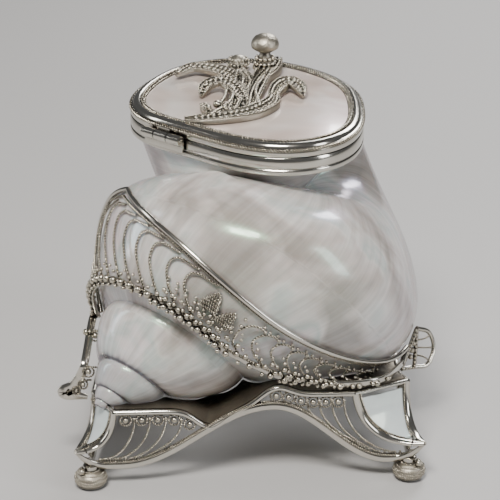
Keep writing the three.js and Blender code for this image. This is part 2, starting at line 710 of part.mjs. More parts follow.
function cornerFrame(corner) {
  const rods = corner.edges.map((edge) =>
    bar(sampled(3, (u) => edge.getPoint(u)), roundSection(FRAME_RADIUS, 3), corner.out));
  const head = bar([0, 1].map((i) => corner.edges[i].getPoint(0)), roundSection(FRAME_RADIUS, 3));
  const toes = corner.arms.map((arm) => {
    const curve = new THREE.QuadraticBezierCurve3(
      corner.at.clone().addScaledVector(arm, TOE_LENGTH - 3 * CLEARANCE).setZ(SKIRT_LOW_Z + STRAP_HEIGHT / 2),
      corner.at.clone().setZ(SKIRT_LOW_Z + STRAP_HEIGHT / 2),
      corner.tip,
    );
    return bar(sampled(2, (u) => curve.getPoint(u)), flatSection(STRAP_THICKNESS, STRAP_HEIGHT));
  });
  const pad = new THREE.CylinderGeometry(PAD_RADIUS, PAD_RADIUS, STRAP_HEIGHT - 2 * CLEARANCE, 6);
  pad.rotateX(Math.PI / 2);
  pad.translate(corner.at.x, corner.at.y, SKIRT_LOW_Z + 2 * CLEARANCE + STRAP_HEIGHT / 2);
  return geometryOf(joined([...rods, head, ...toes, solid(pad)]).subtract(shellSpace));
}

function cornerInlay(corner) {
  const rows = sampled(4, (u) => {
    const [near, far] = corner.edges.map((edge) => edge.getPoint(flatMix(0.1, INLAY_TO, u)));
    const margin = (FRAME_RADIUS + CLEARANCE) / near.distanceTo(far) * 1.2;
    const ends = [margin, 1 - margin].map((share) => near.clone().lerp(far, share));
    const backs = ends.slice().reverse().map((end) => end.clone().addScaledVector(corner.out, -INLAY_THICKNESS));
    return [...ends, ...backs];
  });
  return loft(rows);
}

function foot(corner) {
  const rim = FOOT_RADIUS;
  const above = FOOT_HEIGHT - FOOT_RIM_Z;
  const profile = [
    [0, 0], [FOOT_FLAT_RADIUS, 0], [rim * 0.8, FOOT_RIM_Z * 0.35], [rim, FOOT_RIM_Z],
    [rim * 0.9, FOOT_RIM_Z + above * 0.45], [rim * 0.55, FOOT_RIM_Z + above * 0.85], [0, FOOT_HEIGHT],
  ];
  const button = new THREE.LatheGeometry(profile.map(([r, z]) => new THREE.Vector2(r, z)), 8);
  button.rotateX(Math.PI / 2);
  button.translate(corner.at.x, corner.at.y, 0);
  const beadAt = corner.at.clone().addScaledVector(corner.out, rim * 0.7).setZ(FOOT_HEIGHT);
  return geometryOf(solid(button).add(granule(beadAt)));
}

// Sheet: rises and falls with the aprons' edges, and opens where the shell sits in it
function standSheet() {
  const inset = STRAP_THICKNESS / 2 + CLEARANCE;
  const [front, right, back, left] = SIDES;
  const surface = (u, v) => {
    const near = front.point(u, front.top(u)).addScaledVector(front.out, -inset);
    const far = back.point(1 - u, back.top(1 - u)).addScaledVector(back.out, -inset);
    const point = near.lerp(far, v);
    point.z -= sideDip(v) * u ** 2;
    return point;
  };
  const margin = inset / front.length;
  const strip = (v) => {
    const across = sampled(12, (u) => surface(flatMix(margin, 1 - margin, u), v));
    const under = across.slice().reverse().map((point) => point.clone().setZ(point.z - SHEET_THICKNESS));
    return [...across, ...under];
  };
  const railSpace = bar(sampled(8, (u) => bandRail(flatMix(0.44, BAND_TO, u))),
    roundSection(RAIL_RADIUS + 5 * CLEARANCE, 6));
  const cuts = corners.map((corner) => {
    const [a, b] = corner.edges.map((edge) => edge.getPoint(0).sub(corner.at).setZ(0));
    const across = b.clone().sub(a).normalize();
    const inward = corner.out.clone().multiplyScalar(-1);
    const set = inward.clone().addScaledVector(across, -inward.dot(across)).normalize()
      .multiplyScalar(FRAME_RADIUS + 2 * CLEARANCE);
    const ring = (z) => [a.clone().multiplyScalar(1.2), b.clone().multiplyScalar(1.2)]
      .map((arm, i) => (i ? b : a).clone().add(set).addScaledVector(across, i ? 6 : -6))
      .concat([vec(0, 0, 0).addScaledVector(corner.out, 12)])
      .map((point) => point.add(corner.at).setZ(z));
    return solid(loft([ring(0), ring(SHEET_RIGHT_Z + 10)]));
  });
  return geometryOf(solid(loft(sampled(4, strip))).subtract(joined([shellSpace, railSpace, ...cuts])));
}

// Side leaf: an openwork leaf at the left, from the band down to the stand beside the spire
function sideLeaf() {
  const left = SIDES[3];
  const top = bandStrip(0).add(vec(-1.8, 0, -1.6));
  const foot = overStand(left, 0.84, 1.8, -2);
  const rise = top.z - foot.z;
  const rim = new THREE.CatmullRomCurve3([
    top,
    foot.clone().add(vec(-0.4, 0.4, rise * 0.72)),
    foot.clone().add(vec(-2, 0, rise * 0.4)),
    foot.clone().add(vec(-4, 0, rise * 0.2)),
    foot.clone().add(vec(-7, 0, rise * 0.1)),
    foot.clone().add(vec(-3.8, 0, 0.6)),
    foot,
  ]);
  const rimBar = bar(sampled(10, (u) => rim.getPoint(u)), flatSection(1.6, 1), vec(0, -1, 0));
  const inside = [0.2, 0.36, 0.5].map((u) => granule(rim.getPoint(u).add(vec(1.3, 0, -0.4))));
  const outside = [0.08, 0.2].map((u) => granule(rim.getPoint(u).add(vec(-1.1, 0, 0.4))));
  return geometryOf(joined([rimBar, ...inside, ...outside]).subtract(shellSpace));
}

// Rear leaf: a triangle and a round lobe behind the band's point, on the right apron
function rearLeaf() {
  const right = SIDES[1];
  const low = overStand(right, 0.37, 0.2, 1.1);
  const outer = overStand(right, 0.4, 4.6, 1.2);
  const high = overStand(right, 0.44, 5.4, 13.6);
  const rods = [[low, high], [high, outer], [outer, low]].map((ends) =>
    bar(ends, roundSection(FRAME_RADIUS, 4), right.along));
  const lobe = new THREE.CatmullRomCurve3([
    high, overStand(right, 0.48, 9.6, 11), overStand(right, 0.47, 11.2, 6), overStand(right, 0.43, 9, 1.4), outer,
  ]);
  const lobeBar = bar(sampled(6, (u) => lobe.getPoint(u)), roundSection(FRAME_RADIUS, 4), right.along);
  return geometryOf(joined([...rods, lobeBar]).subtract(shellSpace));
}

const casket = new THREE.Group();

function piece(name, geometry, material) {
  const mesh = new THREE.Mesh(geometry, material);
  mesh.name = name;
  casket.add(mesh);
  return mesh;
}

piece('shell', shell(), nacre());
piece('collar', collar(), silver());
piece('lid_frame', lidFrame(), silver());
piece('lid_panel', lidPanel(), nacre());
piece('lid_spray', lidSpray(), filigree());
piece('lid_finial', lidFinial(), silver());
piece('hinge_lid_leaf', hingeLidLeaf(), silver());
piece('hinge_case_leaf', hingeCaseLeaf(), silver());
piece('hinge_pin', hingePin(), silver());
piece('band', band(), filigree());
piece('side_leaf', sideLeaf(), filigree());
piece('rear_leaf', rearLeaf(), filigree());
piece('stand_sheet', standSheet(), matteSilver());
for (const side of SIDES) {
  piece(`apron_${side.name}`, apron(side), filigree());
}
for (const corner of corners) {
  piece(`corner_${corner.name}`, cornerFrame(corner), silver());
  piece(`inlay_${corner.name}`, cornerInlay(corner), nacre());
  piece(`foot_${corner.name}`, foot(corner), matteSilver());
}

// The origin is under the middle of the casket, on the plane it stands on
const middle = new THREE.Box3().setFromObject(casket).getCenter(vec(0, 0, 0));
casket.position.set(-middle.x, -middle.y, 0);
const part = new THREE.Group();
part.add(casket);

export default part;
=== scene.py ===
# %% [markdown]
# # A shell box, dressed in Blender
#
# The real object is a small casket. A pearled turban shell lies on a stand of silver filigree, a
# filigree band wraps its body whorl, and a lid of nacre closes its mouth. The frame below brings in
# the solids, so every piece made here goes where they are, in metres, with the origin under the casket.

# %% The frame
import math

import bmesh
import bpy
import numpy as np
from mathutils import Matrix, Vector


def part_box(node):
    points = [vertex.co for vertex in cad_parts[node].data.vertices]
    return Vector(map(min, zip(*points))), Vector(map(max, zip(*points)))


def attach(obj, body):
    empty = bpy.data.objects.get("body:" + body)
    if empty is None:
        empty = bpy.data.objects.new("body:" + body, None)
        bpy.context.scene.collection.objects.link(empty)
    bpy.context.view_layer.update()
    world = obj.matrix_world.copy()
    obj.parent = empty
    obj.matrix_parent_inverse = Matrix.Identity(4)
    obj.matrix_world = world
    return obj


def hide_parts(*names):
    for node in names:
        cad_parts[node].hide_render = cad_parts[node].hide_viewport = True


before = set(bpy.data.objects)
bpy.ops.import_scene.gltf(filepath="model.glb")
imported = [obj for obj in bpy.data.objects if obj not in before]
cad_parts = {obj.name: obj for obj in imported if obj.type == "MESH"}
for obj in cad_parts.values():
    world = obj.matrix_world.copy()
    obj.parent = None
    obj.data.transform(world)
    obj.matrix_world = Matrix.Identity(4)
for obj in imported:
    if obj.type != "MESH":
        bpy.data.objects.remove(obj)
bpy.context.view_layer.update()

MM = 0.001
UP = np.array([0.0, 0.0, 1.0])

# %% [markdown]
# ## One set of sizes
#
# The casket was measured in millimetres, in a frame of its own with the front at -Y. The solids were
# then moved so that the origin is under their middle. The finial is round, so the middle of its box
# tells how far they moved, and `placed` takes any measured point to the frame that the scene uses.

# %% Measured millimetres to the frame
FINIAL_X, FINIAL_Y = 4.8, 44.5
low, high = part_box("lid_finial")
SHIFT = np.array([(low.x + high.x) / 2 / MM - FINIAL_X, (low.y + high.y) / 2 / MM - FINIAL_Y, 0.0])


def vec(*numbers):
    return np.array(numbers, float)


def placed(points):
    return (np.asarray(points, float) + SHIFT) * MM


def unit(vector):
    vector = np.asarray(vector, float)
    return vector / np.maximum(np.linalg.norm(vector, axis=-1, keepdims=True), 1e-9)


def mix(a, b, share):
    return a + (b - a) * share


def smooth(x, a, b):
    x = np.clip((x - a) / (b - a), 0, 1)
    return x * x * (3 - 2 * x)


def smoother(x, a, b):
    x = np.clip((x - a) / (b - a), 0, 1)
    return x * x * x * (x * (x * 6 - 15) + 10)


def bump(distance):
    distance = np.abs(distance)
    return np.where(distance < 1, np.cos(np.minimum(distance, 1) * math.pi / 2) ** 2, 0.0)


print("the solids moved by", SHIFT.round(3), "mm")

# %% [markdown]
# ## Camera
#
# The photograph looks a little down at the front. Fitting the feet, the lid and the shell's outline
# gave a camera 62 cm away, 23 degrees above level. A long lens keeps the small object undistorted.

# %% The camera
CAMERA_DISTANCE = 620
CAMERA_RISE = math.radians(23)
CAMERA_AIM = vec(0, 0, 57.8)
FOCAL_PIXELS = 2008
PHOTO_PIXELS = 500
SENSOR = 36

camera_data = bpy.data.cameras.new("camera")
camera_data.sensor_width = SENSOR
camera_data.lens = SENSOR * FOCAL_PIXELS / PHOTO_PIXELS
camera_data.clip_start = 0.01
camera = bpy.data.objects.new("camera", camera_data)
bpy.context.scene.collection.objects.link(camera)
back = vec(0, -math.cos(CAMERA_RISE), math.sin(CAMERA_RISE)) * CAMERA_DISTANCE
camera.location = Vector(placed(CAMERA_AIM + back))
camera.rotation_euler = (Vector(placed(CAMERA_AIM)) - camera.location).to_track_quat("-Z", "Y").to_euler()
bpy.context.scene.camera = camera
print("lens", round(camera_data.lens, 1), "mm")

# %% [markdown]
# ## Floor and light
#
# Nacre and silver show what is around them, so the lights are soft panels: a strong one high in
# front, a weaker tall one at the right, one behind that draws the outlines and a faint one at the left.

# %% Floor, panels and sky
FLOOR_REACH = 3.0
LIGHT_AIM = (0, 0, 0.06)
floor_mesh = bpy.data.meshes.new("floor")
floor_corners = [(x * FLOOR_REACH, y * FLOOR_REACH, 0) for x, y in ((-1, -1), (1, -1), (1, 1), (-1, 1))]
floor_mesh.from_pydata(floor_corners, [], [(0, 1, 2, 3)])
floor = bpy.data.objects.new("floor", floor_mesh)
bpy.context.scene.collection.objects.link(floor)
floor_finish = bpy.data.materials.new("floor")
floor_finish.use_nodes = True
floor_shader = floor_finish.node_tree.nodes["Principled BSDF"]
floor_shader.inputs["Base Color"].default_value = (0.50, 0.49, 0.48, 1)
floor_shader.inputs["Roughness"].default_value = 0.6
floor_mesh.materials.append(floor_finish)


def panel(name, place, size, power, colour=(1, 1, 1)):
    data = bpy.data.lights.new(name, "AREA")
    data.shape = "RECTANGLE"
    data.size, data.size_y = size
    data.energy = power
    data.color = colour
    light = bpy.data.objects.new(name, data)
    light.location = place
    light.rotation_euler = (Vector(LIGHT_AIM) - Vector(place)).to_track_quat("-Z", "Y").to_euler()
    bpy.context.scene.collection.objects.link(light)


panel("key", (-0.12, -0.5, 0.8), (0.3, 0.2), 11, (1, 0.97, 0.93))
panel("fill", (0.7, -0.35, 0.35), (0.2, 0.45), 2.4, (0.95, 0.97, 1))
panel("rim", (0.25, 0.7, 0.5), (0.4, 0.2), 4.5)
panel("side", (-0.75, 0.1, 0.3), (0.12, 0.5), 1.4)

world = bpy.data.worlds.new("room")
bpy.context.scene.world = world
world.use_nodes = True
world.node_tree.nodes["Background"].inputs["Color"].default_value = (0.75, 0.77, 0.8, 1)
world.node_tree.nodes["Background"].inputs["Strength"].default_value = 0.13

# %% [markdown]
# ## Finishes
#
# Each finish is a small node tree on Object coordinates or on a piece's own attribute, so a pattern
# stays on its piece. Nacre is a pale body with cloudy patches, fine growth lines across the whorl and
# faint spiral streaks along it. A thin film on the shader gives the play of pink and green.

# %% A helper for node trees
def finish(name):
    material = bpy.data.materials.new(name)
    material.use_nodes = True
    tree = material.node_tree
    return material, tree, tree.nodes["Principled BSDF"]


def noise(tree, vector, scale, detail=3, roughness=0.5, distortion=0.0):
    node = tree.nodes.new("ShaderNodeTexNoise")
    node.inputs["Scale"].default_value = scale
    node.inputs["Detail"].default_value = detail
    node.inputs["Roughness"].default_value = roughness
    node.inputs["Distortion"].default_value = distortion
    tree.links.new(vector, node.inputs["Vector"])
    return node.outputs["Fac"]


def ramp(tree, value, stops):
    node = tree.nodes.new("ShaderNodeValToRGB")
    while len(node.color_ramp.elements) < len(stops):
        node.color_ramp.elements.new(0.5)
    for element, (position, colour) in zip(node.color_ramp.elements, stops):
        element.position = position
        element.color = (*colour, 1) if len(colour) == 3 else colour
    tree.links.new(value, node.inputs["Fac"])
    return node.outputs["Color"]


def blend_colours(tree, share, a, b, mode="MIX"):
    node = tree.nodes.new("ShaderNodeMix")
    node.data_type = "RGBA"
    node.blend_type = mode
    for value, socket in ((share, node.inputs[0]), (a, node.inputs[6]), (b, node.inputs[7])):
        if isinstance(value, bpy.types.NodeSocket):
            tree.links.new(value, socket)
        elif isinstance(value, tuple):
            socket.default_value = (*value, 1)
        else:
            socket.default_value = value
    return node.outputs[2]


def reckon(tree, operation, a, b):
    node = tree.nodes.new("ShaderNodeMath")
    node.operation = operation
    for value, socket in ((a, node.inputs[0]), (b, node.inputs[1])):
        if isinstance(value, bpy.types.NodeSocket):
            tree.links.new(value, socket)
        else:
            socket.default_value = value
    return node.outputs[0]


def object_place(tree, scale=(1, 1, 1), turn=(0, 0, 0)):
    source = tree.nodes.new("ShaderNodeTexCoord")
    node = tree.nodes.new("ShaderNodeMapping")
    node.inputs["Scale"].default_value = scale
    node.inputs["Rotation"].default_value = turn
    tree.links.new(source.outputs["Object"], node.inputs["Vector"])
    return node.outputs["Vector"]


def attribute_place(tree, name, scale):
    source = tree.nodes.new("ShaderNodeAttribute")
    source.attribute_name = name
    node = tree.nodes.new("ShaderNodeMapping")
    node.inputs["Scale"].default_value = scale
    tree.links.new(source.outputs["Vector"], node.inputs["Vector"])
    return node.outputs["Vector"]


def relief(tree, shader, height, distance, strength):
    node = tree.nodes.new("ShaderNodeBump")
    node.inputs["Distance"].default_value = distance
    node.inputs["Strength"].default_value = strength
    tree.links.new(height, node.inputs["Height"])
    tree.links.new(node.outputs["Normal"], shader.inputs["Normal"])


# %% Nacre
CLOUD_TINTS = [
    (0.37, (0.30, 0.26, 0.22)), (0.45, (0.50, 0.44, 0.40)), (0.52, (0.66, 0.63, 0.59)),
    (0.58, (0.50, 0.55, 0.52)), (0.66, (0.74, 0.67, 0.66)),
]
# The second tint is painted shade, laid over the spire and the skin inside the shell.
STREAK_TINT, PAINTED_SHADE_TINT, SEAM_TINT = (0.93, 0.91, 0.90), (0.26, 0.27, 0.28), (0.03, 0.027, 0.025)
GROWTH_PER_TURN, STREAKS_ROUND = 70, 16


def gloss(shader, roughness, film, coat):
    shader.inputs["Roughness"].default_value = roughness
    shader.inputs["Coat Weight"].default_value = coat
    shader.inputs["Coat Roughness"].default_value = 0.06
    shader.inputs["Thin Film Thickness"].default_value = film
    shader.inputs["Thin Film IOR"].default_value = 1.6


def shell_nacre():
    material, tree, shader = finish("nacre")
    place = object_place(tree)
    clouds = noise(tree, place, 34, 3, 0.5, 0.6)
    body = ramp(tree, clouds, CLOUD_TINTS)
    streaks = noise(tree, attribute_place(tree, "flow", (1.2, STREAKS_ROUND, 1)), 1, 4, 0.6, 0.3)
    body = blend_colours(tree, reckon(tree, "MULTIPLY", streaks, 0.35), body, STREAK_TINT)
    growth = noise(tree, attribute_place(tree, "flow", (GROWTH_PER_TURN, 1.3, 1)), 1, 5, 0.7, 0.2)
    lines = ramp(tree, growth, [(0.35, (0.66, 0.65, 0.64)), (0.6, (1, 1, 1))])
    body = blend_colours(tree, 0.7, body, lines, "MULTIPLY")
    # The shade attribute lays painted shade over the spire and the inside; the seam is the suture's dark
    # line.
    for attribute, tint in (("shade", PAINTED_SHADE_TINT), ("seam", SEAM_TINT)):
        painted = tree.nodes.new("ShaderNodeAttribute")
        painted.attribute_name = attribute
        body = blend_colours(tree, painted.outputs["Fac"], body, tint)
    tree.links.new(body, shader.inputs["Base Color"])
    gloss(shader, 0.24, 420, 0.45)
    shader.inputs["Subsurface Weight"].default_value = 0.12
    shader.inputs["Subsurface Scale"].default_value = 0.002
    fine = reckon(tree, "ADD", growth, reckon(tree, "MULTIPLY", streaks, 0.8))
    relief(tree, shader, fine, 0.00012, 0.35)
    return material


def sheet_nacre(name, tints, film, stretch=(6, 60, 60), turn=0.5):
    material, tree, shader = finish(name)
    place = object_place(tree, stretch, (0, 0, turn))
    grain = noise(tree, place, 1, 5, 0.6, 1.2)
    clouds = noise(tree, object_place(tree), 26, 2, 0.5, 0.8)
    body = ramp(tree, clouds, [(0.3 + 0.13 * i, tint) for i, tint in enumerate(tints)])
    shades = ramp(tree, grain, [(0.3, (0.82, 0.82, 0.82)), (0.65, (1, 1, 1))])
    body = blend_colours(tree, 0.7, body, shades, "MULTIPLY")
    tree.links.new(body, shader.inputs["Base Color"])
    gloss(shader, 0.16, film, 0.8)
    relief(tree, shader, grain, 0.00005, 0.25)
    return material


NACRE = shell_nacre()
LID_TINTS = [(0.56, 0.45, 0.38), (0.68, 0.57, 0.50), (0.78, 0.73, 0.68), (0.70, 0.60, 0.58)]
INLAY_TINTS = [(0.46, 0.52, 0.54), (0.62, 0.66, 0.68), (0.66, 0.72, 0.72)]
LID_NACRE = sheet_nacre("lid_nacre", LID_TINTS, 380)
INLAY_NACRE = sheet_nacre("inlay_nacre", INLAY_TINTS, 460, (40, 40, 12))

# %% [markdown]
# Silver shows its age in the recesses. An ambient occlusion node darkens whatever lies close under
# something else, which is how tarnish collects between wires and beads.

# %% Silvers
WORN_SHARE = 0.72


def silver(name, bright, dark, roughness, reach, grain=0.0, grain_scale=900):
    material, tree, shader = finish(name)
    place = object_place(tree)
    shader.inputs["Metallic"].default_value = 1
    open_air = tree.nodes.new("ShaderNodeAmbientOcclusion")
    open_air.samples = 4
    open_air.inputs["Distance"].default_value = reach
    cover = ramp(tree, open_air.outputs["AO"], [(0.35, (0, 0, 0)), (0.9, (1, 1, 1))])
    patches = noise(tree, place, 160, 4, 0.6)
    worn = tuple(WORN_SHARE * part for part in bright)
    metal = blend_colours(tree, reckon(tree, "MULTIPLY", patches, 0.45), bright, worn)
    tree.links.new(blend_colours(tree, cover, dark, metal), shader.inputs["Base Color"])
    rough = reckon(tree, "ADD", reckon(tree, "MULTIPLY", patches, 0.16), roughness - 0.08)
    tree.links.new(rough, shader.inputs["Roughness"])
    if grain:
        relief(tree, shader, noise(tree, place, grain_scale, 2, 0.6), grain, 1.0)
    return material


POLISHED = silver("polished_silver", (0.70, 0.67, 0.60), (0.07, 0.055, 0.04), 0.17, 0.002)
WIRE = silver("wire_silver", (0.62, 0.57, 0.47), (0.035, 0.028, 0.02), 0.27, 0.0016)
STIPPLED = silver("stippled_silver", (0.36, 0.32, 0.26), (0.06, 0.05, 0.04), 0.48, 0.004, 0.00022, 1500)
FROSTED = silver("frosted_silver", (0.50, 0.46, 0.38), (0.06, 0.05, 0.04), 0.4, 0.002, 0.00018, 1800)
print("finishes:", len(bpy.data.materials))

# %% [markdown]
# ## Benchwork
#
# A silversmith sweeps wire, strip and moulding along a line, so most pieces here are a section
# carried along a path. `swept` returns the rings, and a `Blank` gathers the closed bodies of a piece.

# %% Swept bodies and the blank that gathers them
ALL_SMOOTH = 180


def side_and_top(path, up):
    """Unit vectors to the side of a path and to its top, at every point of it."""
    along = unit(np.gradient(path, axis=0))
    side = unit(np.cross(along, np.broadcast_to(up, path.shape)))
    return side, unit(np.cross(side, along))


def swept(path, section, up=UP):
    path = np.asarray(path, float)
    section = np.asarray(section, float)
    if section.ndim == 2:
        section = np.repeat(section[None], len(path), 0)
    side, top = side_and_top(path, up)
    return path[:, None] + section[..., :1] * side[:, None] + section[..., 1:] * top[:, None]


def round_section(radius, sides):
    angle = np.arange(sides) * 2 * math.pi / sides
    return np.stack([radius * np.cos(angle), radius * np.sin(angle)], -1)


def strip_section(width, height, bevel=0.15):
    w, h = width / 2, height / 2
    return np.array([(-w, -h + bevel), (-w + bevel, -h), (w - bevel, -h), (w, -h + bevel),
                     (w, h - bevel), (w - bevel, h), (-w + bevel, h), (-w, h - bevel)])


class Blank:
    def __init__(self):
        self.points, self.faces, self.attributes = [], [], {}
        self.count = 0

    def add(self, rings, closed=False, **attributes):
        rings = np.asarray(rings, float)
        turns, sides = rings.shape[:2]
        start = self.count
        grid = start + np.arange(turns * sides).reshape(turns, sides)
        after = np.roll(grid, -1, 0) if closed else grid[1:]
        here = grid if closed else grid[:-1]
        quads = np.stack([here, np.roll(here, -1, 1), np.roll(after, -1, 1), after], -1).reshape(-1, 4)
        self.faces += quads.tolist()
        if not closed:
            self.faces += [grid[0, ::-1].tolist(), grid[-1].tolist()]
        self.points.append(rings.reshape(-1, 3))
        self.count += turns * sides
        for name, values in attributes.items():
            self.attributes.setdefault(name, []).append(np.asarray(values, float))
        return self

    def make(self, name, finish_material, body="root", slot=None, replaces=(), smooth_angle=40):
        mesh = bpy.data.meshes.new(name)
        mesh.from_pydata(placed(np.concatenate(self.points)).tolist(), [], self.faces)
        for attribute, values in self.attributes.items():
            values = np.concatenate(values)
            kind = "FLOAT_VECTOR" if values.ndim == 2 else "FLOAT"
            data = mesh.attributes.new(attribute, kind, "POINT").data
            data.foreach_set("vector" if values.ndim == 2 else "value", values.ravel().astype(np.float32))
        return dress(name, mesh, finish_material, body, replaces, smooth_angle)


def outward_faces(mesh):
    work = bmesh.new()
    work.from_mesh(mesh)
    bmesh.ops.recalc_face_normals(work, faces=work.faces)
    work.to_mesh(mesh)
    work.free()


def dress(name, mesh, finish_material, body, replaces, smooth_angle):
    outward_faces(mesh)
    mesh.materials.clear()
    mesh.materials.append(finish_material)
    mesh.shade_smooth()
    if smooth_angle < ALL_SMOOTH:
        mesh.set_sharp_from_angle(angle=math.radians(smooth_angle))
    piece = bpy.data.objects.new(name, mesh)
    bpy.context.scene.collection.objects.link(piece)
    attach(piece, body)
    if replaces:
        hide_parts(*replaces)
    print(name, len(mesh.vertices), "points")
    return piece


# %% [markdown]
# ## Wires and granules
#
# Filigree is two wires twisted together and balls of silver soldered on. Both repeat hundreds of
# times along a line, so Geometry Nodes make them: one tree twists a pair of round wires along a path,
# the other sets a ball on every point, as large as the point says.

# %% The two trees
def node_tree(name, inputs):
    tree = bpy.data.node_groups.new(name, "GeometryNodeTree")
    tree.interface.new_socket("Geometry", in_out="INPUT", socket_type="NodeSocketGeometry")
    for label, kind in inputs:
        tree.interface.new_socket(label, in_out="INPUT", socket_type=kind)
    tree.interface.new_socket("Geometry", in_out="OUTPUT", socket_type="NodeSocketGeometry")
    source, target = tree.nodes.new("NodeGroupInput"), tree.nodes.new("NodeGroupOutput")

    def chain(kind, geometry=None, into=0, **settings):
        node = tree.nodes.new(kind)
        for label, value in settings.items():
            setattr(node, label, value)
        if geometry is not None:
            tree.links.new(geometry, node.inputs[into])
        return node

    return tree, source, target, chain


def close_tree(tree, source, target, chain, geometry):
    shaded = chain("GeometryNodeSetShadeSmooth", geometry)
    real = chain("GeometryNodeRealizeInstances", shaded.outputs[0])
    painted = chain("GeometryNodeSetMaterial", real.outputs[0])
    tree.links.new(source.outputs["Finish"], painted.inputs["Material"])
    tree.links.new(painted.outputs[0], target.inputs[0])


def twisted_wire_tree():
    tree, source, target, chain = node_tree("twisted wire", [
        ("Strand Radius", "NodeSocketFloat"), ("Pitch", "NodeSocketFloat"), ("Step", "NodeSocketFloat"),
        ("Finish", "NodeSocketMaterial")])
    curve = chain("GeometryNodeMeshToCurve", source.outputs["Geometry"])
    even = chain("GeometryNodeResampleCurve", curve.outputs[0], mode="LENGTH")
    tree.links.new(source.outputs["Step"], even.inputs["Length"])
    tilted = chain("GeometryNodeSetCurveTilt", even.outputs[0])
    along = chain("GeometryNodeSplineParameter")
    turns = chain("ShaderNodeMath", along.outputs["Length"], operation="DIVIDE")
    tree.links.new(source.outputs["Pitch"], turns.inputs[1])
    angle = chain("ShaderNodeMath", turns.outputs[0], operation="MULTIPLY")
    angle.inputs[1].default_value = 2 * math.pi
    tree.links.new(angle.outputs[0], tilted.inputs["Tilt"])
    pair = chain("GeometryNodeJoinGeometry")
    for sign in (-1, 1):
        circle = chain("GeometryNodeCurvePrimitiveCircle")
        circle.inputs["Resolution"].default_value = 6
        tree.links.new(source.outputs["Strand Radius"], circle.inputs["Radius"])
        offset = chain("ShaderNodeMath", source.outputs["Strand Radius"], operation="MULTIPLY")
        offset.inputs[1].default_value = 0.85 * sign
        shift = chain("ShaderNodeCombineXYZ", offset.outputs[0])
        moved = chain("GeometryNodeTransform", circle.outputs[0])
        tree.links.new(shift.outputs[0], moved.inputs["Translation"])
        tree.links.new(moved.outputs[0], pair.inputs[0])
    wire = chain("GeometryNodeCurveToMesh", tilted.outputs[0])
    tree.links.new(pair.outputs[0], wire.inputs["Profile Curve"])
    wire.inputs["Fill Caps"].default_value = True
    close_tree(tree, source, target, chain, wire.outputs[0])
    return tree


def granule_tree():
    tree, source, target, chain = node_tree("granules", [
        ("Detail", "NodeSocketInt"), ("Finish", "NodeSocketMaterial")])
    ball = chain("GeometryNodeMeshIcoSphere")
    ball.inputs["Radius"].default_value = 1
    tree.links.new(source.outputs["Detail"], ball.inputs["Subdivisions"])
    size = chain("GeometryNodeInputNamedAttribute", data_type="FLOAT")
    size.inputs["Name"].default_value = "size"
    spread = chain("GeometryNodeInstanceOnPoints", source.outputs["Geometry"])
    tree.links.new(ball.outputs[0], spread.inputs["Instance"])
    tree.links.new(size.outputs[0], spread.inputs["Scale"])
    close_tree(tree, source, target, chain, spread.outputs[0])
    return tree


TWISTED_WIRE = twisted_wire_tree()
GRANULES = granule_tree()


def grown(name, mesh, tree, values):
    """The mesh that a tree makes of a mesh, as plain data."""
    source = bpy.data.objects.new(name + "_source", mesh)
    bpy.context.scene.collection.objects.link(source)
    modifier = source.modifiers.new("tree", "NODES")
    modifier.node_group = tree
    sockets = {item.name: item.identifier for item in tree.interface.items_tree if item.in_out == "INPUT"}
    for label, value in values.items():
        modifier[sockets[label]] = value
    graph = bpy.context.evaluated_depsgraph_get()
    result = bpy.data.meshes.new_from_object(source.evaluated_get(graph))
    bpy.data.objects.remove(source)
    result.name = name
    return result


# %% Makers of twisted wires and granules
STRAND_RADIUS = 0.26
TWIST_PITCH = 1.9


def twisted(name, paths, body="root", strand=STRAND_RADIUS, pitch=TWIST_PITCH, replaces=()):
    points, edges = [], []
    for path in paths:
        start = len(points)
        points += placed(path).tolist()
        edges += [(start + i, start + i + 1) for i in range(len(path) - 1)]
    mesh = bpy.data.meshes.new(name + "_paths")
    mesh.from_pydata(points, edges, [])
    mesh = grown(name, mesh, TWISTED_WIRE, {
        "Strand Radius": strand * MM, "Pitch": pitch * MM, "Step": strand * MM * 1.1, "Finish": WIRE})
    return dress(name, mesh, WIRE, body, replaces, ALL_SMOOTH)


def granulated(name, balls, body="root", detail=2):
    mesh = bpy.data.meshes.new(name + "_points")
    mesh.from_pydata(placed([ball[0] for ball in balls]).tolist(), [], [])
    size = mesh.attributes.new("size", "FLOAT", "POINT")
    size.data.foreach_set("value", [ball[1] * MM for ball in balls])
    mesh = grown(name, mesh, GRANULES, {"Detail": detail, "Finish": WIRE})
    return dress(name, mesh, WIRE, body, (), ALL_SMOOTH)


def picked(path, at, places=None):
    """Points of a path at places along it, counted in its points unless told where they are."""
    places = np.arange(len(path)) if places is None else places
    return np.stack([np.interp(at, places, path[:, axis]) for axis in range(3)], -1)


def along_line(path, spacing):
    """Points at an even spacing along a path."""
    path = np.asarray(path, float)
    lengths = np.concatenate([[0], np.cumsum(np.linalg.norm(np.diff(path, axis=0), axis=1))])
    count = max(1, int(lengths[-1] / spacing))
    at = (np.arange(count) + 0.5) * lengths[-1] / count
    return picked(path, at, lengths)


def bezier(points, steps):
    """A Bezier curve of any degree, by repeated mixing."""
    share = np.linspace(0, 1, steps + 1)[:, None]
    level = [np.repeat(np.asarray(point, float)[None], steps + 1, 0) for point in points]
    while len(level) > 1:
        level = [mix(a, b, share) for a, b in zip(level, level[1:])]
    return level[0]


def through(points, steps):
    """A smooth line through all the points, as a Catmull-Rom spline."""
    points = np.asarray(points, float)
    ends = np.concatenate([[2 * points[0] - points[1]], points, [2 * points[-1] - points[-2]]])
    spans = len(points) - 1
    line = []
    for i in range(steps + 1):
        place = i / steps * spans
        span = min(int(place), spans - 1)
        t = place - span
        a, b, c, d = ends[span:span + 4]
        line.append(0.5 * (2 * b + (c - a) * t + (2 * a - 5 * b + 4 * c - d) * t * t
                           + (3 * b - a - 3 * c + d) * t ** 3))
    return np.array(line)


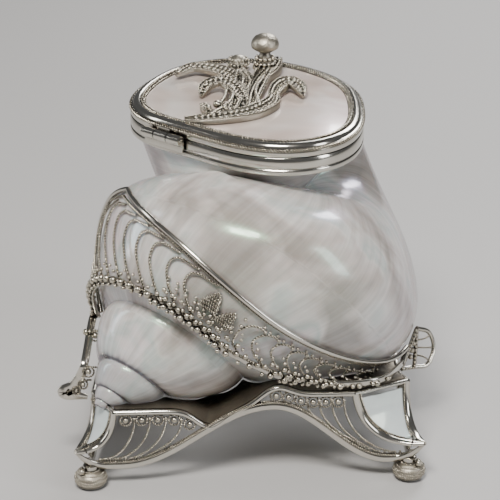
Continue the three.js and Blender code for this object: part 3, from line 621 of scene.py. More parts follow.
def bead_ring(centre, radius, height, count, start):
    """A ring of places for beads round a centre, turned by a share of one bead."""
    angle = 2 * math.pi * (np.arange(count) + start) / count
    return [centre + vec(radius * math.cos(a), radius * math.sin(a), height) for a in angle]


# %% [markdown]
# ## The shell
#
# A turban shell grows as one tube that widens by the same factor in every turn, wound round a tilted
# axis. `tube` gives any point of it from the turn, the angle round the section and how proud of the
# surface it stands, so the same rule also carries the filigree band. Near its end the tube eases into
# the mouth, a rounded egg that was ground flat for the collar.

# %% The rule of the tube
APEX = vec(-46.2, -40, 23.1)
AXIS_AZIMUTH, AXIS_TILT = math.radians(38.54), math.radians(33.55)
TUBE_HALF_WIDTH, WIDENING, TUBE_REACH, TUBE_RISE = 19.2, 2.1425, 0.8457, 2.383
CROWN_DROP, CROWN_FOOT, CROWN_TOP, MOUTH_EASE_FROM = 3.4, 76, 94, 0.68
MOUTH = vec(0.5, 18.6, 0)
MOUTH_RADIUS = 38.4
MOUTH_WAVES = ((4.28, 2, 113.8), (1.667, 3, 62.2), (1.366, 4, 18.9))
SEAT_Z, RIM_Z, RIM_INSET, SHELL_WALL = 97.0, 95.8, 1.5, 2.6
AXIS = vec(math.cos(AXIS_TILT) * math.cos(AXIS_AZIMUTH), math.cos(AXIS_TILT) * math.sin(AXIS_AZIMUTH),
           math.sin(AXIS_TILT))
LEVEL_ARM = vec(-math.sin(AXIS_AZIMUTH), math.cos(AXIS_AZIMUTH), 0)
RISING_ARM = np.cross(AXIS, LEVEL_ARM)


def arm(turn):
    angle = 2 * math.pi * np.asarray(turn, float)[..., None]
    return LEVEL_ARM * np.cos(angle) + RISING_ARM * np.sin(angle)


def section_share(angle):
    return 1 - 0.126 * np.cos(2 * (angle + 0.066)) + 0.093 * np.cos(3 * (angle - 0.154))


def mouth_radius(angle):
    waves = sum(size * np.cos(count * (angle - math.radians(at))) for size, count, at in MOUTH_WAVES)
    return MOUTH_RADIUS + waves


def mouth_normal(angle):
    step = 1e-3
    radius = mouth_radius(angle)
    slope = (mouth_radius(angle + step) - mouth_radius(angle - step)) / (2 * step)
    across = radius * np.cos(angle) + slope * np.sin(angle)
    away = radius * np.sin(angle) - slope * np.cos(angle)
    return unit(np.stack([across, away, 0 * across], -1))


def mouth_point(angle, offset, z):
    angle, offset, z = np.broadcast_arrays(np.asarray(angle, float), offset, z)
    ring = mouth_radius(angle)[..., None] * np.stack([np.cos(angle), np.sin(angle), 0 * angle], -1)
    point = MOUTH + ring + mouth_normal(angle) * offset[..., None]
    point[..., 2] = z
    return point


def tube(turn, angle, proud=0.0):
    turn, angle, proud = np.broadcast_arrays(np.asarray(turn, float), angle, proud)
    half = TUBE_HALF_WIDTH * WIDENING ** turn
    radius = half * section_share(angle) + proud
    point = (APEX + arm(turn) * (TUBE_REACH * half + radius * np.cos(angle))[..., None]
             + AXIS * (TUBE_RISE * half + radius * np.sin(angle))[..., None])
    to_mouth = smoother(turn, MOUTH_EASE_FROM, 1)
    point[..., 2] -= CROWN_DROP * (1 - to_mouth) * smooth(point[..., 2], CROWN_FOOT, CROWN_TOP)
    at_mouth = mouth_point(AXIS_AZIMUTH + math.pi / 2 - angle, proud - RIM_INSET, RIM_Z)
    return mix(point, at_mouth, to_mouth[..., None])


# %% [markdown]
# The visible whorls are one skin: out along the outside, over the ground rim and back inside to the
# first turn. `flow` stores the turn and the angle on every point, so growth lines run across the tube
# and streaks along it wherever it winds. `seam` marks the dark line where a whorl meets the one before,
# and `shade` is painted shade: it greys the spire and, more faintly, the skin inside the shell.

# %% The skin of the shell
SPIRE_FROM, HOLLOW_FROM = -4.0, -0.43
ROUND_STEPS, SPIRE_STEPS, WHORL_STEPS, BODY_STEPS, INSIDE_STEPS = 132, 110, 90, 210, 120
COLLAR_FOOT_Z = 91.3
SUTURE_ANGLE, SEAM_WIDTH = -1.5, 0.075
SPIRE_WALL_EXTRA = 0.6


def turns_between(first, last, steps):
    return mix(first, last, np.linspace(0, 1, steps + 1))


def shell_rings():
    angle = np.linspace(0, 2 * math.pi, ROUND_STEPS, endpoint=False)
    outside = np.concatenate([turns_between(SPIRE_FROM, -1, SPIRE_STEPS)[:-1],
                              turns_between(-1, 0, WHORL_STEPS)[:-1], turns_between(0, 1, BODY_STEPS)])
    rings, flow = [], []
    for turn in outside:
        rings.append(tube(turn, angle))
        flow.append((turn, 0))
    for turn in turns_between(1, HOLLOW_FROM, INSIDE_STEPS):
        wall = -SHELL_WALL - SPIRE_WALL_EXTRA * smooth(turn, 0.1, -0.3)
        rings.append(tube(turn, angle, wall))
        flow.append((turn, 1))
    return np.array(rings), angle, np.array(flow)


def keep_inside_collar(rings):
    """Pull points under the collar in to the ground seat, so no growth bulge cuts through silver."""
    flat = rings.reshape(-1, 3)
    offset = flat - MOUTH
    angle = np.arctan2(offset[:, 1], offset[:, 0])
    reach = np.hypot(offset[:, 0], offset[:, 1])
    limit = mouth_radius(angle) - RIM_INSET
    ease = smooth(flat[:, 2], COLLAR_FOOT_Z - 1.6, COLLAR_FOOT_Z + 0.2)
    scale = 1 - ease * np.clip(1 - limit / np.maximum(reach, 1e-6), 0, 1)
    flat[:, 0] = MOUTH[0] + offset[:, 0] * scale
    flat[:, 1] = MOUTH[1] + offset[:, 1] * scale
    flat[:, 2] = np.minimum(flat[:, 2], RIM_Z)
    return flat.reshape(rings.shape)


rings, angle, flow = shell_rings()
shares = np.broadcast_to(angle, rings.shape[:2])
turn = np.broadcast_to(flow[:, :1], rings.shape[:2])
inner = np.broadcast_to(flow[:, 1:], rings.shape[:2])
rings = keep_inside_collar(rings)
wrapped = np.abs((shares - SUTURE_ANGLE + math.pi) % (2 * math.pi) - math.pi)
line_width = SEAM_WIDTH * WIDENING ** (-0.3 * turn)
chips = 0.5 + 0.5 * np.sin(turn * 61) * np.sin(turn * 137 + 1.7)
off_seam = wrapped / (line_width * (0.55 + 0.9 * chips))
seam = np.exp(-off_seam ** 2) * (1 - smooth(turn, 0.12, 0.2)) * (1 - inner)
# Painted shade: the spire is greyed at half strength and the skin inside the shell at a quarter.
shade = 0.5 * (1 - smooth(turn, -1.5, -0.5)) * (1 - inner) + 0.25 * inner
flow_values = np.stack([turn, shares / (2 * math.pi), 0 * turn], -1).reshape(-1, 3)
shell = Blank().add(rings, flow=flow_values, seam=seam.ravel(), shade=shade.ravel())
shell.make("pearl_shell", NACRE, slot="nacre", replaces=["shell"], smooth_angle=60)

# %% [markdown]
# ## Collar and lid
#
# The collar, its bezel and the lid's rim follow the same egg. `around_mouth` sweeps a profile of
# offsets and heights round it, and the ropes on them are twisted wires laid along the same line.

# %% Mouldings round the mouth
MOUTH_STEPS = 260


def round_line(offset, z, steps=MOUTH_STEPS):
    angle = np.linspace(0, 2 * math.pi, steps, endpoint=False)
    return mouth_point(angle, offset, z)


def closed_line(offset, z):
    line = round_line(offset, z)
    return np.concatenate([line, line[:1]])


def around_mouth(profile):
    return np.stack([round_line(offset, z) for offset, z in profile], 1)


def arc_profile(centre, radius, start, end, steps):
    angle = np.radians(np.linspace(start, end, steps + 1))
    return [(centre[0] + radius * math.cos(a), centre[1] + radius * math.sin(a)) for a in angle]


COLLAR_WALL, LIP_HEIGHT, LIP_WALL = 1.2, 1.2, 1.1
LIP_OUT = -3.0
LIP_IN = LIP_OUT - LIP_WALL
FOOT_Z, SEAT_UNDER_Z, LIP_TOP_Z = SEAT_Z - 5.4, SEAT_Z - 0.9, SEAT_Z + LIP_HEIGHT
collar_profile = [
    (-COLLAR_WALL, FOOT_Z), (-0.45, FOOT_Z), (-0.12, FOOT_Z + 0.08), (0.06, FOOT_Z + 0.35),
    (0.1, FOOT_Z + 0.8), (0.08, FOOT_Z + 1.3), (-0.02, FOOT_Z + 1.62), (-0.2, FOOT_Z + 1.72),
    (-0.26, FOOT_Z + 1.85), (-0.2, FOOT_Z + 1.98), (0, FOOT_Z + 2.1), (0.06, FOOT_Z + 2.3),
    (0.08, FOOT_Z + 3.6), (0, SEAT_Z - 0.2), (-0.15, SEAT_Z), (LIP_OUT, SEAT_Z),
    (LIP_OUT, LIP_TOP_Z - 0.15), (LIP_OUT - 0.15, LIP_TOP_Z), (LIP_IN, LIP_TOP_Z),
    (LIP_IN, SEAT_UNDER_Z), (-COLLAR_WALL, SEAT_UNDER_Z),
]
Blank().add(around_mouth(collar_profile), closed=True).make(
    "silver_collar", POLISHED, slot="silver", replaces=["collar"], smooth_angle=50)

# %% The lid's frame, ropes and milgrain
LID_FOOT_Z, PANEL_Z = 97.3, 100.4
LID_BORDER, PANEL_THICKNESS = 4.8, 1.3
LEDGE_Z = PANEL_Z - PANEL_THICKNESS - 0.3
LEDGE_FOOT_Z = LEDGE_Z - 0.9
LEDGE_IN = -LID_BORDER - 2.2
bezel = arc_profile((-2.35, 99.6), 1.58, 15, 165, 9)
frame_profile = [
    (-1.4, LID_FOOT_Z), (-0.1, LID_FOOT_Z), (0, LID_FOOT_Z + 0.1), (0.02, 99.1), (-0.15, 99.3),
    (-0.4, 99.4), (-0.45, 99.9), *bezel, (-4.1, 100.25), (-LID_BORDER, 100.25), (-LID_BORDER, LEDGE_Z),
    (LEDGE_IN, LEDGE_Z), (LEDGE_IN, LEDGE_FOOT_Z), (-4.4, LEDGE_FOOT_Z), (-4.4, LEDGE_Z),
    (-1.4, LEDGE_Z),
]
Blank().add(around_mouth(frame_profile), closed=True).make(
    "lid_rim", POLISHED, "lid", "silver", ["lid_frame"], 50)
twisted("lid_ropes", [closed_line(-0.2, 99.3), closed_line(-3.75, 101.0)], "lid", 0.36, 1.9)
milgrain = along_line(closed_line(-4.45, 100.6), 0.85)
granulated("lid_milgrain", [(point, 0.4) for point in milgrain], "lid", 1)

# %% [markdown]
# The lid's sheet is nacre too, cut to the egg and very slightly domed. Its mesh is a fan of rings that
# shrink to the middle, closed by the same rings below.

# %% The sheet of nacre in the lid
PANEL_DOME, PANEL_HUB, PANEL_SIDES, PANEL_RINGS = 0.7, 0.02, 200, 22


def dome_rise(x, y):
    """How far the sheet stands above its edge at a point, in millimetres."""
    offset = np.stack([np.asarray(x, float) - MOUTH[0], np.asarray(y, float) - MOUTH[1]], -1)
    angle = np.arctan2(offset[..., 1], offset[..., 0])
    share = np.linalg.norm(offset, axis=-1) / (mouth_radius(angle) - LID_BORDER)
    return PANEL_DOME * (1 - np.clip(share, 0, 1) ** 2)


edge = round_line(-LID_BORDER - 0.1, 0, PANEL_SIDES)
underside = UP * (PANEL_Z - PANEL_THICKNESS)
sheet_rings = [MOUTH + (edge - MOUTH) * PANEL_HUB + underside, edge + underside]
for share in np.linspace(1, PANEL_HUB, PANEL_RINGS):
    ring = MOUTH + (edge - MOUTH) * share
    sheet_rings.append(ring + UP * (PANEL_Z + PANEL_DOME * (1 - share ** 2)))
Blank().add(sheet_rings).make("lid_sheet", LID_NACRE, "lid", "nacre", ["lid_panel"], 50)

# %% [markdown]
# ## The spray on the lid
#
# Leaves of sheet silver with a wall round them are filled with rows of granules, and beaded stems run
# between them to the bud and the finial. Each leaf follows a spine, so its wall, its beaded outline and
# the granule rows inside all come from the same line and width.

# %% Leaves
SPRAY_Z = PANEL_Z + 0.25


def on_lid(points):
    points = np.asarray(points, float)
    points = points[:, :3] if points.shape[1] == 3 else np.column_stack([points, np.zeros(len(points))])
    return np.column_stack([points[:, :2], SPRAY_Z + points[:, 2] + dome_rise(points[:, 0], points[:, 1])])


def leaf_width(share, width):
    return np.maximum(0.3, width / 2 * np.sin(math.pi * np.minimum(1, 0.08 + 0.9 * share)) ** 0.7)


leaves = [
    ([[-19.5, -3.6, 0], [-10, -2.6, 0], [0, 1.2, 0], [6.2, 9.2, 0.2], [7.8, 18, 0.6]], 7.4, 1.7),
    ([[6.8, 14, 0.4], [8.8, 22, 1], [12, 26.6, 1.6], [15.2, 22.4, 1.4], [16.4, 16.6, 0.6]], 6, 1.5),
    ([[-1, 8, 0], [-4, 19, 1.4], [-8.6, 25, 2.2], [-13.4, 23.4, 1.4], [-15, 17.6, 0]], 6, 1.4),
    ([[-2, 22, 0], [-5, 34, 0.4], [-11, 41, 1], [-18, 43, 1.4], [-23.4, 37, 1]], 7, 1.5),
    ([[-6, 0, 0], [-4, 14, 0.2], [-1, 30, 0.4], [-3.6, 44, 1]], 5, 1.6),
    ([[0, 4, 0], [1.6, 18, 0.2], [4, 32, 0.4], [7.6, 46, 1.4]], 5, 1.6),
    ([[2, 30, 0], [6, 40, 0.6], [9.6, 51, 2]], 7, 2.0),
    ([[-12.5, 3, 0], [-14.6, 8.6, 0.7]], 3.2, 1.3),
    ([[-8.6, 3.6, 0], [-5.6, 9, 0.8]], 3.2, 1.3),
    ([[-10.4, 4, 0], [-10.2, -0.6, 0.6]], 3.0, 1.2),
]
LEAF_SECTION = [
    (-1, 0), (1, 0), (1, 0.85), (0.94, 1), (0.84, 1), (0.78, 0.82), (0.4, 0.62), (0, 0.5),
    (-0.4, 0.62), (-0.78, 0.82), (-0.84, 1), (-0.94, 1), (-1, 0.85),
]
spray = Blank()
leaf_balls, leaf_ropes = [], []
for spine, width, height in leaves:
    line = on_lid(through(spine, 30))
    share = np.linspace(0, 1, len(line))
    half = leaf_width(share, width)
    wall = height * np.minimum(1, 0.5 + half / width)
    section = np.stack([np.stack([x * half, y * wall], -1) for x, y in LEAF_SECTION], 1)
    spray.add(swept(line, section))
    side, top = side_and_top(line, UP)
    for sign in (-1, 1):
        outline = line + sign * side * (half * 0.89)[:, None] + top * (wall + 0.1)[:, None]
        leaf_ropes.append(outline)
        inner_line = line + sign * side * (half * 0.5)[:, None] + top * (wall * 0.72)[:, None]
        leaf_balls += [(point, 0.72) for point in along_line(inner_line[2:-2], 1.75)]
    middle_line = line + top * (wall * 0.62)[:, None]
    leaf_balls += [(point, 0.5) for point in along_line(middle_line[2:-2], 1.7)]
spray.make("spray_leaves", FROSTED, "lid", "filigree", ["lid_spray"], 40)
twisted("spray_outlines", leaf_ropes, "lid", 0.17, 1.1)

# %% The stems and the bud
BUD = vec(-3.8, 46.4, 2.2)
bud_at = on_lid([BUD])[0]
stem_balls = []
for path in ([[-12, -1.4, 1.4], [-6, 10, 1.8], [-5, 24, 2.2], [-4, 38, 2.4]],
             [[3, 6, 1.4], [1.8, 20, 1.8], [4, 32, 2.0], [6.4, 43, 2.4]],
             [[-10, 5.6, 1.2], [-8, 12, 1.8], [-7, 20, 2.4]]):
    stem_balls += [(point, 0.62) for point in along_line(on_lid(through(path, 30)), 1.15)]
BUD_RADIUS, BUD_FLATNESS, BUD_SIDES = 3.2, 0.9, 24
dome_rings = []
ring_angle = np.linspace(0, 2 * math.pi, BUD_SIDES, endpoint=False)
for tilt in np.radians(np.linspace(-40, 88, 12)):
    ring = np.stack([np.cos(ring_angle) * math.cos(tilt), np.sin(ring_angle) * math.cos(tilt),
                     np.full(BUD_SIDES, BUD_FLATNESS * math.sin(tilt))], -1)
    dome_rings.append(bud_at + BUD_RADIUS * ring)
Blank().add(dome_rings).make("spray_bud", FROSTED, "lid", "filigree", (), 60)
for height, radius, count, start in ((-1.4, 3.0, 16, 0), (0.2, 3.35, 18, 0.5), (1.6, 2.9, 15, 0.5)):
    stem_balls += [(point, 0.5) for point in bead_ring(bud_at, radius, height, count, start)]
LOOSE_BEADS = [
    (-10, 5.6, 2.2, 1.25), (-12.6, 4.4, 1.6, 0.7), (-7.6, 4.6, 1.6, 0.7), (-10, 8.4, 1.6, 0.7),
    (13.8, 26.2, 2.6, 0.8), (-13.6, 22.8, 2.4, 0.8), (-22.6, 37.4, 2.4, 0.8),
]
stem_balls += [(on_lid([place])[0], size) for *place, size in LOOSE_BEADS]
granulated("spray_granules", leaf_balls + stem_balls, "lid", 2)

# %% [markdown]
# The finial is a small mushroom on a post. Its cap is a soft dome, frosted all over with fine grain,
# and rings of beads stand round its foot.

# %% The finial
FINIAL_HEIGHT, CAP_RADIUS, POST_RADIUS = 13.0, 4.5, 1.7
FINIAL_FOOT_Z = PANEL_Z + 0.3


def turned(centre, profile, sides=40):
    """A closed body turned on a lathe: rings of radii at heights."""
    angle = np.linspace(0, 2 * math.pi, sides, endpoint=False)
    ring = np.stack([np.cos(angle), np.sin(angle), 0 * angle], -1)
    return [centre + ring * max(radius, 0.02) + vec(0, 0, height) for radius, height in profile]


cap = FINIAL_HEIGHT
finial_profile = [
    (0.5, 0), (POST_RADIUS + 0.5, 0), (POST_RADIUS + 0.4, 0.6), (POST_RADIUS - 0.2, 1.2), (2.9, 2.2),
    (2.8, 4.2), (2.1, 5.6), (POST_RADIUS - 0.1, cap - 6.2), (POST_RADIUS + 0.9, cap - 5.6),
    (3.6, cap - 5.0), (4.3, cap - 4.5), (CAP_RADIUS, cap - 3.7), (4.42, cap - 2.9), (4.05, cap - 1.9),
    (3.3, cap - 0.95), (2.2, cap - 0.35), (1.0, cap - 0.06), (0.1, cap),
]
finial_at = vec(FINIAL_X, FINIAL_Y, FINIAL_FOOT_Z)
Blank().add(turned(finial_at, finial_profile)).make(
    "mushroom_finial", FROSTED, "lid", "silver", ["lid_finial"], 60)
finial_balls = []
for radius, height, count in ((2.1, 0.6, 12), (3.0, 3.4, 14), (2.7, 5.0, 12), (3.4, 1.9, 15)):
    finial_balls += [(point, 0.7) for point in bead_ring(finial_at, radius, height, count, height)]
granulated("finial_beads", finial_balls, "lid", 2)

# %% [markdown]
# ## The hinge
#
# Three knuckles turn on one pin at the lid's front left. The middle one belongs to the lid. The
# bores are real, so each knuckle is a lathe ring with a hole, and the pin's ends are small buttons.

# %% Knuckles, plates and pin
HINGE_ANGLE = math.radians(-138.5)
HINGE_STANDOFF, HINGE_LENGTH, KNUCKLE_RADIUS, KNUCKLE_GAP, KNUCKLE_EASE = 1.95, 15.0, 1.55, 0.3, 0.18
PIN_RADIUS, PIN_TIP_RADIUS, PIN_EASE, PIN_SIDES = 0.65, 0.4, 0.12, 16
BORE_RADIUS = PIN_RADIUS + 0.1
PLATE_BACK = -HINGE_STANDOFF + 0.6
PLATE_FACE = PLATE_BACK + 0.6
hinge_out = mouth_normal(np.array(HINGE_ANGLE))
hinge_along = np.cross(UP, hinge_out)
hinge_centre = mouth_point(HINGE_ANGLE, HINGE_STANDOFF, (SEAT_Z + LID_FOOT_Z) / 2).reshape(3)


def hinge_space(along, out, high):
    return hinge_centre + hinge_along * along + hinge_out * out + UP * high


def hinge_ring(along, radius, sides=28):
    angle = np.linspace(0, 2 * math.pi, sides, endpoint=False)
    return np.array([hinge_space(along, radius * math.cos(a), radius * math.sin(a)) for a in angle])


def hinge_tube(blank, start, end):
    shoulder = KNUCKLE_RADIUS - KNUCKLE_EASE
    rings = [(start, BORE_RADIUS), (start, shoulder), (start + KNUCKLE_EASE, KNUCKLE_RADIUS),
             (end - KNUCKLE_EASE, KNUCKLE_RADIUS), (end, shoulder), (end, BORE_RADIUS)]
    blank.add([hinge_ring(along, radius) for along, radius in rings], closed=True)


def hinge_plate(blank, start, end, foot, top):
    outline = [(PLATE_BACK, foot), (PLATE_FACE, foot), (PLATE_FACE, top), (PLATE_BACK, top)]
    blank.add([[hinge_space(along, out, high) for out, high in outline] for along in (start, end)])


knuckle = (HINGE_LENGTH - 2 * KNUCKLE_GAP) / 3
lid_leaf = Blank()
hinge_tube(lid_leaf, -knuckle / 2, knuckle / 2)
hinge_plate(lid_leaf, -knuckle / 2, knuckle / 2, 0.2, 2.4)
lid_leaf.make("hinge_knuckle", POLISHED, "lid", "silver", ["hinge_lid_leaf"], 35)
case_leaf = Blank()
outer_start, outer_end = knuckle / 2 + KNUCKLE_GAP, HINGE_LENGTH / 2
for start, end in ((-outer_end, -outer_start), (outer_start, outer_end)):
    hinge_tube(case_leaf, start, end)
    hinge_plate(case_leaf, start, end, -2.2, -0.2)
hinge_plate(case_leaf, -HINGE_LENGTH / 2, HINGE_LENGTH / 2, -3.9, -2)
case_leaf.make("hinge_case", POLISHED, "root", "silver", ["hinge_case_leaf"], 35)
pin_end = HINGE_LENGTH / 2 + 0.2
pin_rings = [(-pin_end, PIN_TIP_RADIUS), (-pin_end + PIN_EASE, PIN_RADIUS),
             (pin_end - PIN_EASE, PIN_RADIUS), (pin_end, PIN_TIP_RADIUS)]
pin = Blank().add([hinge_ring(along, radius, PIN_SIDES) for along, radius in pin_rings])
pin.make("hinge_rod", POLISHED, "root", "silver", ["hinge_pin"], 35)

# %% [markdown]
# ## The sides of the stand
#
# The stand has four sides between its corners. Each has an arched strap below and a top edge that
# follows the wavy sheet. The band's lower strip runs out over the front edge, so the sides' lines are
# needed before the band.

# %% Lines of the four sides
EDGE_HEIGHT, STRAP_HEIGHT, STRAP_THICKNESS, SKIRT_LOW_Z, WIRE_OUT = 1.6, 2.3, 1.5, 5.6, 0.2
SHEET_LEFT_Z, SHEET_RIGHT_Z, SHEET_DIP, SHEET_CREST, SHEET_SIDE_DIP = 25.0, 29.5, 5.5, 3.0, 10.4
DIP_U, CREST_U, WAVE_REACH = 0.375, 0.575, 0.06


def front_top(u):
    rise = (SHEET_RIGHT_Z - SHEET_LEFT_Z) * smooth(u, 0.44, 0.62)
    dip = SHEET_DIP * np.exp(-((u - DIP_U) / WAVE_REACH) ** 2)
    crest = SHEET_CREST * np.exp(-((u - CREST_U) / WAVE_REACH) ** 2)
    return SHEET_LEFT_Z + rise - dip + crest


def side_dip(u):
    return SHEET_SIDE_DIP * bump((u - 0.5) / 0.5)


def right_top(u):
    return SHEET_RIGHT_Z - side_dip(u)


def back_top(u):
    return mix(SHEET_RIGHT_Z, SHEET_LEFT_Z, smooth(u, 0.3, 0.7))


def left_top(u):
    return SHEET_LEFT_Z + 0 * u


class Side:
    def __init__(self, name, start, end, top, arch, ahead, behind, wires):
        self.name, self.top, self.arch, self.wires = name, top, arch, wires
        self.start, self.end = vec(*start, 0), vec(*end, 0)
        self.ahead, self.behind = ahead, behind
        self.length = float(np.linalg.norm(self.end - self.start))
        self.along = (self.end - self.start) / self.length
        self.out = np.cross(self.along, UP)

    def low(self, u):
        at, left, right, rise = self.arch
        return SKIRT_LOW_Z + rise * bump((u - at) / np.where(u < at, left, right))

    def point(self, u, z, out=0.0):
        u, z, out = np.broadcast_arrays(np.asarray(u, float), z, out)
        return (self.start + self.along * (self.length * u)[..., None] + self.out * out[..., None]
                + UP * z[..., None])

    def over(self, u, out, above):
        return self.point(u, self.top(np.asarray(u, float)) + above, out)

    def under_edge(self, u, below):
        return self.point(u, self.top(u) - EDGE_HEIGHT - below, WIRE_OUT)

    def over_strap(self, u, above, out=WIRE_OUT):
        return self.point(u, self.low(u) + STRAP_HEIGHT + above, out)


FRONT_LEFT, FRONT_RIGHT, BACK_RIGHT, BACK_LEFT = (-47.6, -44.4), (47.9, -39.3), (45, 40), (-44.5, 38)
FRONT = Side("front", FRONT_LEFT, FRONT_RIGHT, front_top, (0.57, 0.47, 0.36, 18.6), 7.5, 17, 0)
RIGHT = Side("right", FRONT_RIGHT, BACK_RIGHT, right_top, (0.5, 0.4, 0.4, 9), 11, 11, 4)
BACK = Side("back", BACK_RIGHT, BACK_LEFT, back_top, (0.5, 0.4, 0.4, 15), 11, 11, 5)
LEFT = Side("left", BACK_LEFT, FRONT_LEFT, left_top, (0.5, 0.4, 0.4, 14), 11, 14, 4)
SIDES = [FRONT, RIGHT, BACK, LEFT]
print("sides of the stand, mm:", [round(side.length, 1) for side in SIDES])

# %% [markdown]
# ## The band round the body whorl
#
# A polished rail sweeps along the top and a granulated strip along the suture below. Twisted wires
# start along the rail, turn sharply and run down to the strip. Towards the right the band narrows, so
# the wires become scallops with a cluster of granules at each arch, and a coiled fan sits between.

# %% Rail and strip
BAND_FROM, BAND_TO, BAND_CREST, STRIP_ANGLE = 0.04, 0.64, 0.2, -1.3
RAIL_RADIUS, STRIP_HUG_SHARE, STRIP_HUGS_TO = 0.8, 0.7, 0.46
BAND_PROUD, RAIL_MEETS_BAND, STRIP_PROUD = 0.55, 0.75, 2.3
RAIL_LOW_TURN, RAIL_LOW_ANGLE, RAIL_RISE_LEFT, RAIL_RISE_RIGHT = 0.449, -0.77, 12.9, 26
SUTURE_U, SUTURE_REACH, SUTURE_LIFT = 0.75, 0.13, vec(0.4, -3.4, -0.6)


def rail_angle(turn):
    from_low = turn - RAIL_LOW_TURN
    return RAIL_LOW_ANGLE + np.where(from_low < 0, RAIL_RISE_LEFT, RAIL_RISE_RIGHT) * from_low ** 2


def rail_point(turn, proud=RAIL_RADIUS + 0.5):
    turn = np.asarray(turn, float)
    back = np.maximum(0, BAND_CREST - turn) / (BAND_CREST - BAND_FROM)
    return tube(turn, mix(rail_angle(np.maximum(turn, BAND_CREST)), STRIP_ANGLE, back ** 2), proud)


STRIP_RUN = through([
    tube(STRIP_HUGS_TO, STRIP_ANGLE, STRIP_PROUD), FRONT.over(0.572, -1.4, 5.6), FRONT.over(0.66, -1.2, 4.2),
    FRONT.over(0.775, -0.4, 2.4), RIGHT.over(0.05, -8.6, 2), RIGHT.over(0.27, -0.6, 4)], 200)


def strip_point(u):
    u = np.asarray(u, float)
    hugging = tube(mix(BAND_FROM, STRIP_HUGS_TO, u / STRIP_HUG_SHARE), STRIP_ANGLE, STRIP_PROUD)
    place = np.clip((u - STRIP_HUG_SHARE) / (1 - STRIP_HUG_SHARE), 0, 1) * (len(STRIP_RUN) - 1)
    running = picked(STRIP_RUN, place)
    over_suture = bump((u - SUTURE_U) / SUTURE_REACH)[..., None] * SUTURE_LIFT
    return np.where((u < STRIP_HUG_SHARE)[..., None], hugging, running) + over_suture


def band_point(u, v, lift=0.0):
    """A point of the band: u along it, v from the strip to the rail, lift off the shell."""
    u, v = np.broadcast_arrays(np.asarray(u, float), np.asarray(v, float))
    turn = mix(BAND_FROM, BAND_TO, u)
    top = rail_angle(np.maximum(turn, BAND_CREST))
    surface = tube(turn, mix(STRIP_ANGLE, top, v), BAND_PROUD + lift)
    low, high = tube(turn, STRIP_ANGLE, BAND_PROUD), tube(turn, top, BAND_PROUD)
    to_strip, to_rail = strip_point(u) - low, rail_point(turn, RAIL_MEETS_BAND) - high
    return surface + to_strip * ((1 - v) ** 2)[..., None] + to_rail * (v ** 3)[..., None]


rail_turns = mix(BAND_FROM, BAND_TO, np.linspace(0, 1, 200))
rail_line = rail_point(rail_turns)
strip_line = strip_point(np.linspace(0, 1, 260))
print("rail", rail_line[0].round(1), "to", rail_line[-1].round(1))
metal = Blank()
metal.add(swept(rail_line, round_section(RAIL_RADIUS, 14)))
metal.add(swept(strip_line, strip_section(0.9, 1.9)))
metal.add(swept([strip_point(1.0), rail_point(BAND_TO)], round_section(RAIL_RADIUS, 12)))
metal.make("band_rails", POLISHED, "root", "silver", (), 60)

# %% Ropes, hooked wires and scallops
HIGH_ROPE_V, LOW_ROPE_V, WIRE_STEPS, WIRE_LIFT = 0.91, 0.05, 28, 0.25


def on_band(points):
    """A smooth line through (u, v) places of the band, laid on it."""
    places = through([(u, v, 0) for u, v in points], WIRE_STEPS)
    return band_point(places[:, 0], places[:, 1], WIRE_LIFT)


HOOK_SHAPE = [(0.052, 0.86), (0.03, 0.82), (0.008, 0.79), (-0.008, 0.68), (-0.008, 0.5), (0.008, 0.35),
              (0.04, 0.17), (0.075, 0.0)]
SCALLOP_SHAPE = [(0.012, 0.7), (-0.004, 0.71), (-0.018, 0.62), (-0.024, 0.42), (-0.014, 0.22), (0.002, 0.08)]
HOOKS_AT = [0.025, 0.065, 0.11, 0.155, 0.2, 0.245, 0.295, 0.341, 0.389, 0.435, 0.487, 0.537]
SCALLOPS_AT = [0.711, 0.741, 0.773, 0.806, 0.838, 0.87, 0.9, 0.93, 0.958]
hooks = [on_band([(crest + du, v) for du, v in HOOK_SHAPE]) for crest in HOOKS_AT]
scallops = [on_band([(crest + du, v) for du, v in SCALLOP_SHAPE]) for crest in SCALLOPS_AT]
rope_u = np.linspace(0.0, 1, 240)
ropes = [band_point(rope_u, HIGH_ROPE_V, 0.2), band_point(rope_u, LOW_ROPE_V, 0.35)]
left_edge = on_band([(0.0, 0.02), (0.004, 0.5), (0.01, 0.95)])
twisted("band_wires", hooks + scallops + ropes + [left_edge], replaces=["band"])

# %% The coiled fan, drawn as ribs that shrink towards its tip
FAN_RIBS = 7
PROBE_U, PROBE_V = 0.01, 0.05


def local_patch(u, v):
    """Millimetres across and up the band round one place, as a function."""
    here = band_point(u, v)
    across = np.linalg.norm(band_point(u + PROBE_U, v) - here) / PROBE_U
    up = np.linalg.norm(band_point(u, v + PROBE_V) - here) / PROBE_V
    return lambda x, y, lift: band_point(u + np.asarray(x) / across, v + np.asarray(y) / up, lift)


def coiled_fan(u, v, width, height, lean):
    patch = local_patch(u, v)
    ribs = []
    for rib in range(FAN_RIBS):
        share = rib / (FAN_RIBS - 0.5)
        half = width / 2 * (1 - share ** 1.4) ** 0.8
        sweep = np.linspace(math.pi * 1.08, -math.pi * 0.08, 14)
        x = half * np.cos(sweep) + lean * share * height
        y = height * share + 0.42 * half * np.sin(sweep)
        ribs.append(patch(x, y, 0.5 + 0.7 * np.sin(sweep).clip(0) * (1 - share)))
    return ribs


fan_ribs = coiled_fan(0.606, 0.36, 5.6, 7.0, -0.1) + coiled_fan(0.648, 0.3, 5.0, 6.0, 0.12)
twisted("fan_ribs", fan_ribs, strand=0.3, pitch=1.5)

